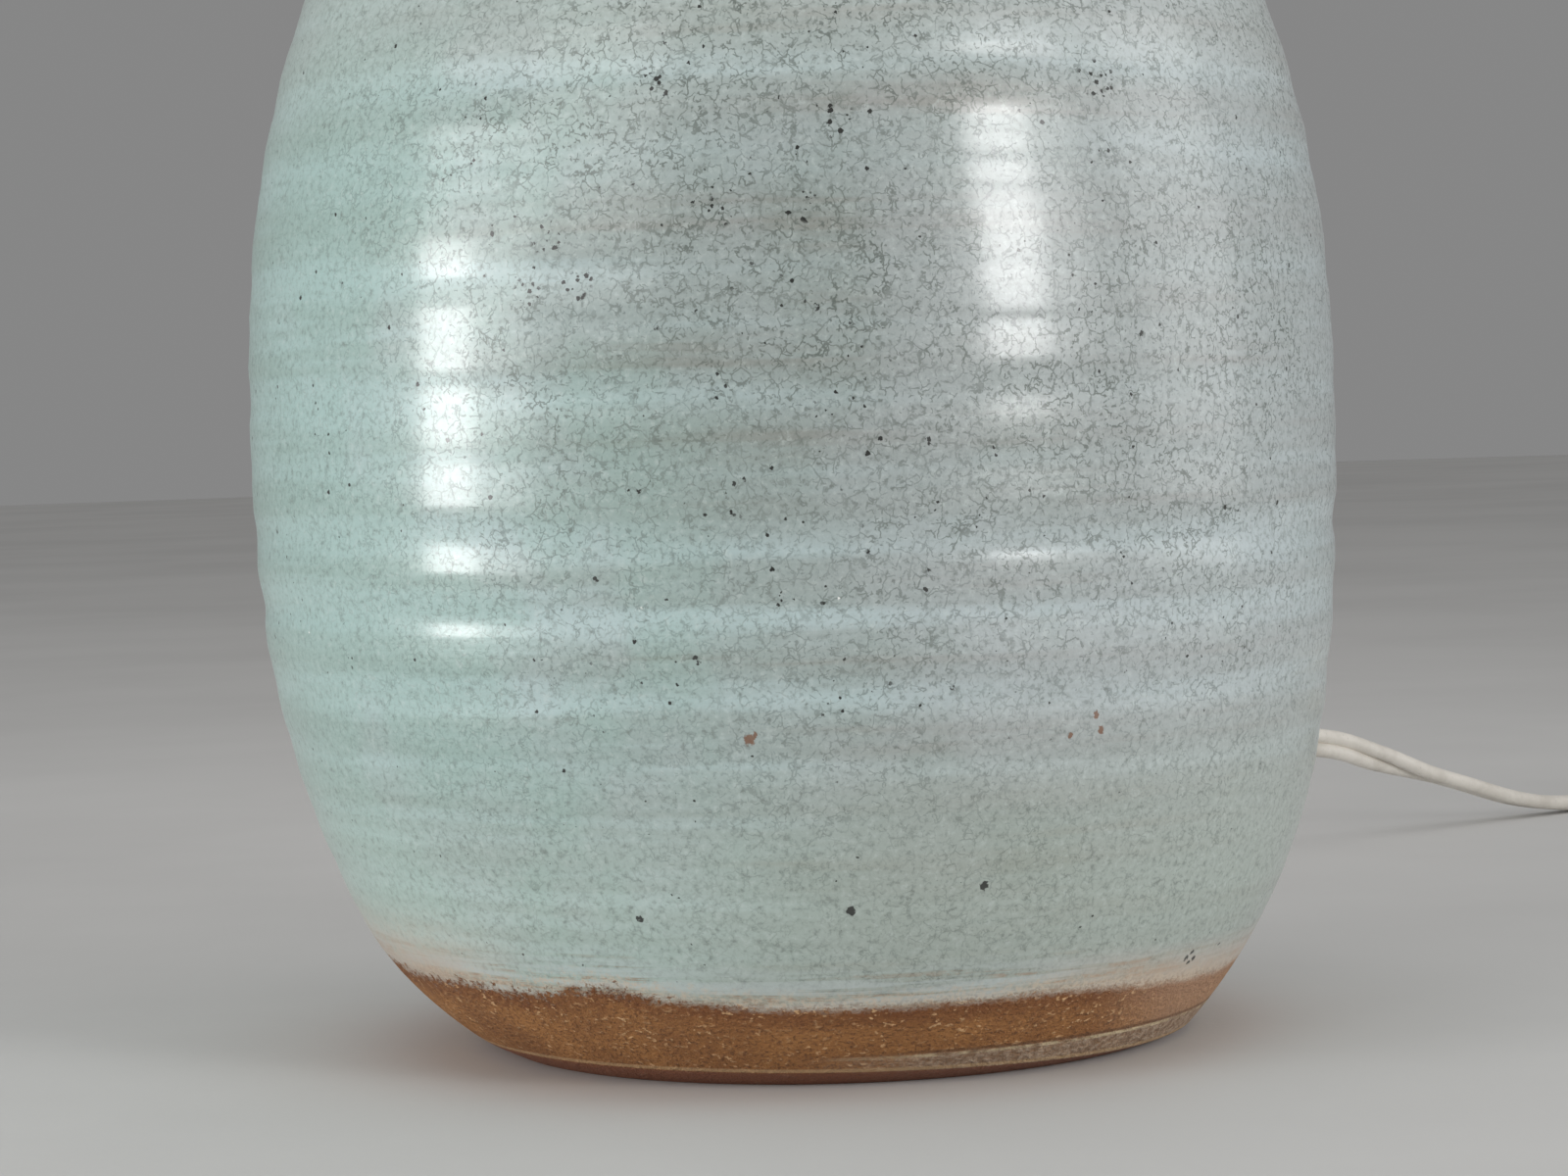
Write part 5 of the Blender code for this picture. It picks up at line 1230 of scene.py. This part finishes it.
def make_ring():
    """The shade ring: a flanged, ribbed moulding."""
    bottom, top, radius = span("shade_ring")
    bore = 0.0175
    collar = 0.0198
    flange = bottom + 0.0024
    ribs = 40
    points = outline(
        (bore, top, (0, -0.4), (0.4, 0)),
        (collar, top, (-0.7, 0), (-0.2, -0.2), (0, -0.7)),
        (collar, flange, (0, 0.9), (0.1, 0.3), (0.5, 0)),
        (radius, flange, (-0.6, 0), (-0.2, -0.2), (0, -0.6)),
        (radius, bottom, (0, 0.5), (-0.15, 0.15), (-0.5, 0)),
        (bore, bottom, (0.4, 0), (0, 0.4)),
    )

    def ribbed(r, height, angle):
        if r > radius - 0.15 * MM:
            return r - 0.35 * MM * (1 - wave(ribs * angle / TURN)) ** 3
        return r

    new_piece("shade_ring_moulded", lathe(points, 320, ribbed), "shade_ring")


def make_knob():
    """A fluted knob on the switch's axis, with a small pip on its end."""
    low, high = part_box("switch_knob")
    start = low[0]
    end = high[0]
    root = 0.0066
    tip = 0.0056
    hole = 0.0023
    flutes = 10
    taper = ((root, start + 0.9 * MM), (tip, end - 1.2 * MM))
    points = [
        *outline((hole, start, (0, 0)), (root, start, (-0.9, 0), (-0.3, 0.3))),
        *np.linspace(*taper, 12, endpoint=False),
        *outline((tip, end, (-0.1, -1.0), (-0.45, -0.35), (-1.2, -0.1))),
        *outline((0, end, (2.2, 0), (0, 0), (0, -2.8))),
        (hole, end - 0.0028),
    ]

    def fluted(r, height, angle):
        if r < 0.003:
            return r
        share = eased(height, start + 0.5 * MM, start + 1.5 * MM) * eased(height, end, end - 1.5 * MM)
        return r - 0.6 * MM * share * (1 - wave(flutes * angle / TURN)) ** 2

    bm = lathe(points, 160, fluted, SPINDLE_PLACE)
    new_piece("switch_knob_fluted", bm, "switch_knob")


for make in (
    make_gasket, make_vase_cap, make_spool, make_holder_cap, make_shell, make_set_screw,
    make_screw_shell, make_bulb_cap, make_bulb_glass, make_ring, make_knob,
):
    make()


# The strain relief, the tie and the plug
def make_strain_relief():
    """A bush in the wall, a flange that follows the wall and a ribbed, tapered sleeve."""
    face = RELIEF_TIP - 0.022
    flange = 0.0075
    bore = CORD_RADIUS + GAP
    neck = bore + 0.0014
    ribs = 7
    steps = ribs * 6
    rows = [(bore, RELIEF_INNER_END), (neck, RELIEF_INNER_END)]
    on_wall = (len(rows), len(rows) + 1)
    rows += outline((neck, face, (0, -4)), (flange, face, (0, -3), (0, -0.3), (-0.3, 0)))
    rows += outline((0, face, (6.3, 0.1)))
    for step in range(steps):
        share = step / steps
        groove = 0.35 * MM * (1 - wave(ribs * share)) ** 2
        along = face + 0.5 * MM + (RELIEF_TIP - face - 1.5 * MM) * share
        rows.append((0.0062 - 0.0015 * share - groove, along))
    rows += outline((0, RELIEF_TIP, (4.6, -0.6), (4.3, -0.1)), (bore, RELIEF_TIP, (0.1, 0)))
    bm = bmesh.new()
    rings = []
    for index, (radius, along) in enumerate(rows):
        ring = []
        for angle in around(64):
            x = radius * math.cos(angle)
            y = along
            z = EXIT_HEIGHT + radius * math.sin(angle)
            if index in on_wall:
                out, _, shift = trimmed(wall_radius(z), z)
                y = min(math.sqrt(max(0.0, out**2 - (x - shift) ** 2)) + GAP, face - 0.5 * MM)
            ring.append(bm.verts.new((x, y, z)))
        rings.append(ring)
    bridge(bm, rings)
    return new_piece("strain_relief", bm, "cord_strain_relief")


def make_tie():
    """A strap with rounded edges round the coil."""
    points = np.array([tuple(v.co) for v in frame["nodes"]["cord_tie"].data.vertices])
    middle = Vector(points.mean(axis=0))
    outward = heading(COIL_CENTRE, middle)
    across = Vector((-outward.y, outward.x, 0))
    reach, half_width, rise = (
        np.abs((points - middle) @ np.array(way)).max() for way in (outward, across, UP)
    )
    corner = 0.003
    steps = 8
    section = ((-1, 0.15), (-0.9, 0), (0.9, 0), (1, 0.15), (1, 0.85), (0.9, 1), (-0.9, 1), (-1, 0.85))
    bm = bmesh.new()
    rings = []
    for quarter, (right, top) in enumerate(((1, 1), (-1, 1), (-1, -1), (1, -1))):
        for step in range(steps + 1):
            angle = math.pi / 2 * (quarter + step / steps)
            ring = []
            for wide, deep in section:
                radius = corner - TIE_THICKNESS * deep
                out = right * (reach - corner) + radius * math.cos(angle)
                up = top * (rise - corner) + radius * math.sin(angle)
                ring.append(bm.verts.new(middle + outward * out + across * (half_width * wide) + UP * up))
            rings.append(ring)
    bridge(bm, rings)
    return new_piece("coil_strap", bm, "cord_tie")


PLUG_LENGTH = 0.038
PLUG_ROWS = 96
# Along the plug: the place, half the width and half the height in millimetres, and how square it is there
PLUG_STATIONS = (
    (0, 4.6, 4.2, 0), (4, 4.9, 4.4, 0), (10.5, 5.4, 4.7, 0.3), (14, 8.6, 5.2, 0.7), (18, 9.2, 5.5, 0.9),
    (23.6, 9.2, 5.6, 1), (30, 10.9, 6.7, 1), (36.8, 11.2, 6.8, 1), (37.7, 10.9, 6.5, 1), (38, 10.2, 5.9, 1),
)
PLUG_GRIP = (0.016, 0.029)
PLUG_GRIP_PITCH = 0.0022
PLUG_NOTCH_END = 0.0105
PLUG_NOTCH_PITCH = 0.0035


def make_plug():
    """A flat moulded plug: a slotted strain relief, grip ribs on both sides and a flat face."""
    seat = plug_tail[-1] + tail_direction * GAP
    turn = math.atan2(tail_direction.y, tail_direction.x)
    places, *columns = zip(*PLUG_STATIONS)
    bm = bmesh.new()
    rings = []
    for along in np.linspace(0, PLUG_LENGTH, PLUG_ROWS + 1):
        half_width, half_height, square = (np.interp(along / MM, places, values) for values in columns)
        power = 1 - 0.42 * square
        ring = []
        for angle in around(72):
            across, up = (math.copysign(abs(v) ** power, v) for v in (math.cos(angle), math.sin(angle)))
            grip = notch = 0.0
            if PLUG_GRIP[0] < along < PLUG_GRIP[1] and abs(up) > 0.8:
                grip = 0.4 * wave((along - PLUG_GRIP[0]) / PLUG_GRIP_PITCH)
            if along < PLUG_NOTCH_END and abs(up) < 0.75:
                notch = 0.5 * (1 - wave(along / PLUG_NOTCH_PITCH)) ** 2
            height = max(-PLUG_HALF_HEIGHT, (half_height - grip) * MM * up)
            ring.append(bm.verts.new((along, (half_width - notch) * MM * across, height)))
        rings.append(ring)
    bridge(bm, rings, closed=False)
    bm.faces.new(rings[0])
    bm.faces.new(rings[-1])
    bmesh.ops.transform(bm, matrix=Matrix.Translation(seat) @ Matrix.Rotation(turn, 4, "Z"), verts=bm.verts)
    return new_piece("plug_moulded", bm, "plug_body")


strain_relief = make_strain_relief()
tie = make_tie()
plug = make_plug()
[tuple(p) for p in flex_path]


# The studio
FLOOR_RADIUS = 7
BEAM = math.radians(90)
AIM = Vector((0, 0, 0.12))
# Name, degrees to the right of the front, distance, height, width, height of the light and power
WINDOWS = (
    ("left_window", -72, 1.10, 0.17, 0.24, 0.28, 0.55),
    ("left_curtain", -67, 1.30, 0.27, 0.62, 0.70, 1.15),
    ("left_sky", -42, 1.60, 0.80, 0.90, 0.90, 1.25),
    ("right_window", 45, 1.15, 0.39, 0.26, 0.40, 0.95),
    ("right_curtain", 50, 1.30, 0.50, 0.56, 0.60, 0.66),
    ("right_side", 88, 1.40, 0.40, 0.70, 0.90, 0.76),
)
CEILING_PLACE = (-0.2, -0.1, 2.1)
CEILING_SIZE = 2.2
CEILING_POWER = 10
WORLD_GREY = 0.36
BACKGROUND_GREY = 0.24


def make_floor():
    bm = bmesh.new()
    bmesh.ops.create_circle(bm, cap_ends=True, radius=FLOOR_RADIUS, segments=96)
    floor = new_object("studio_floor", to_mesh("studio_floor", bm))
    look = Look("pale_floor", 0.7)
    shade = look.layers((206, 205, 203), ((198, 197, 195), (look.noise(3, 5, 0.6), 0.3, 0.7)))
    floor.data.materials.append(look.finish(look.noise(400), 0.00005, Base_Color=shade).material)


def make_light(name, place, width, height, power):
    data = bpy.data.lights.new(name, "AREA")
    data.shape = "RECTANGLE"
    data.size = width
    data.size_y = height
    data.energy = power
    light = new_object(name, data)
    light.location = place
    return light


def make_lights():
    for name, degrees, distance, height, *size_and_power in WINDOWS:
        angle = math.radians(degrees)
        place = (distance * math.sin(angle), -distance * math.cos(angle), height)
        light = make_light(name, place, *size_and_power)
        light.data.spread = BEAM
        light.rotation_euler = (AIM - light.location).to_track_quat("-Z", "Y").to_euler()
    make_light("ceiling", CEILING_PLACE, CEILING_SIZE, CEILING_SIZE, CEILING_POWER)


def make_world():
    """A grey room. What the camera, gloss and clear glass see of it is darker."""
    world = bpy.data.worlds.new("studio")
    scene.world = world
    world.use_nodes = True
    nodes = Nodes(world.node_tree)
    rays = nodes.add("LightPath").outputs
    seen = nodes.most(*(rays[f"Is {kind} Ray"] for kind in ("Camera", "Glossy", "Transmission")))
    greys = {6: (*[WORLD_GREY] * 3, 1), 7: (*[BACKGROUND_GREY] * 3, 1)}
    colour = nodes.add("Mix", {0: seen, **greys}, data_type="RGBA").outputs[2]
    nodes.tree.links.new(colour, nodes.tree.nodes["Background"].inputs["Color"])


make_floor()
make_lights()
make_world()
scene.view_settings.view_transform = "Standard"
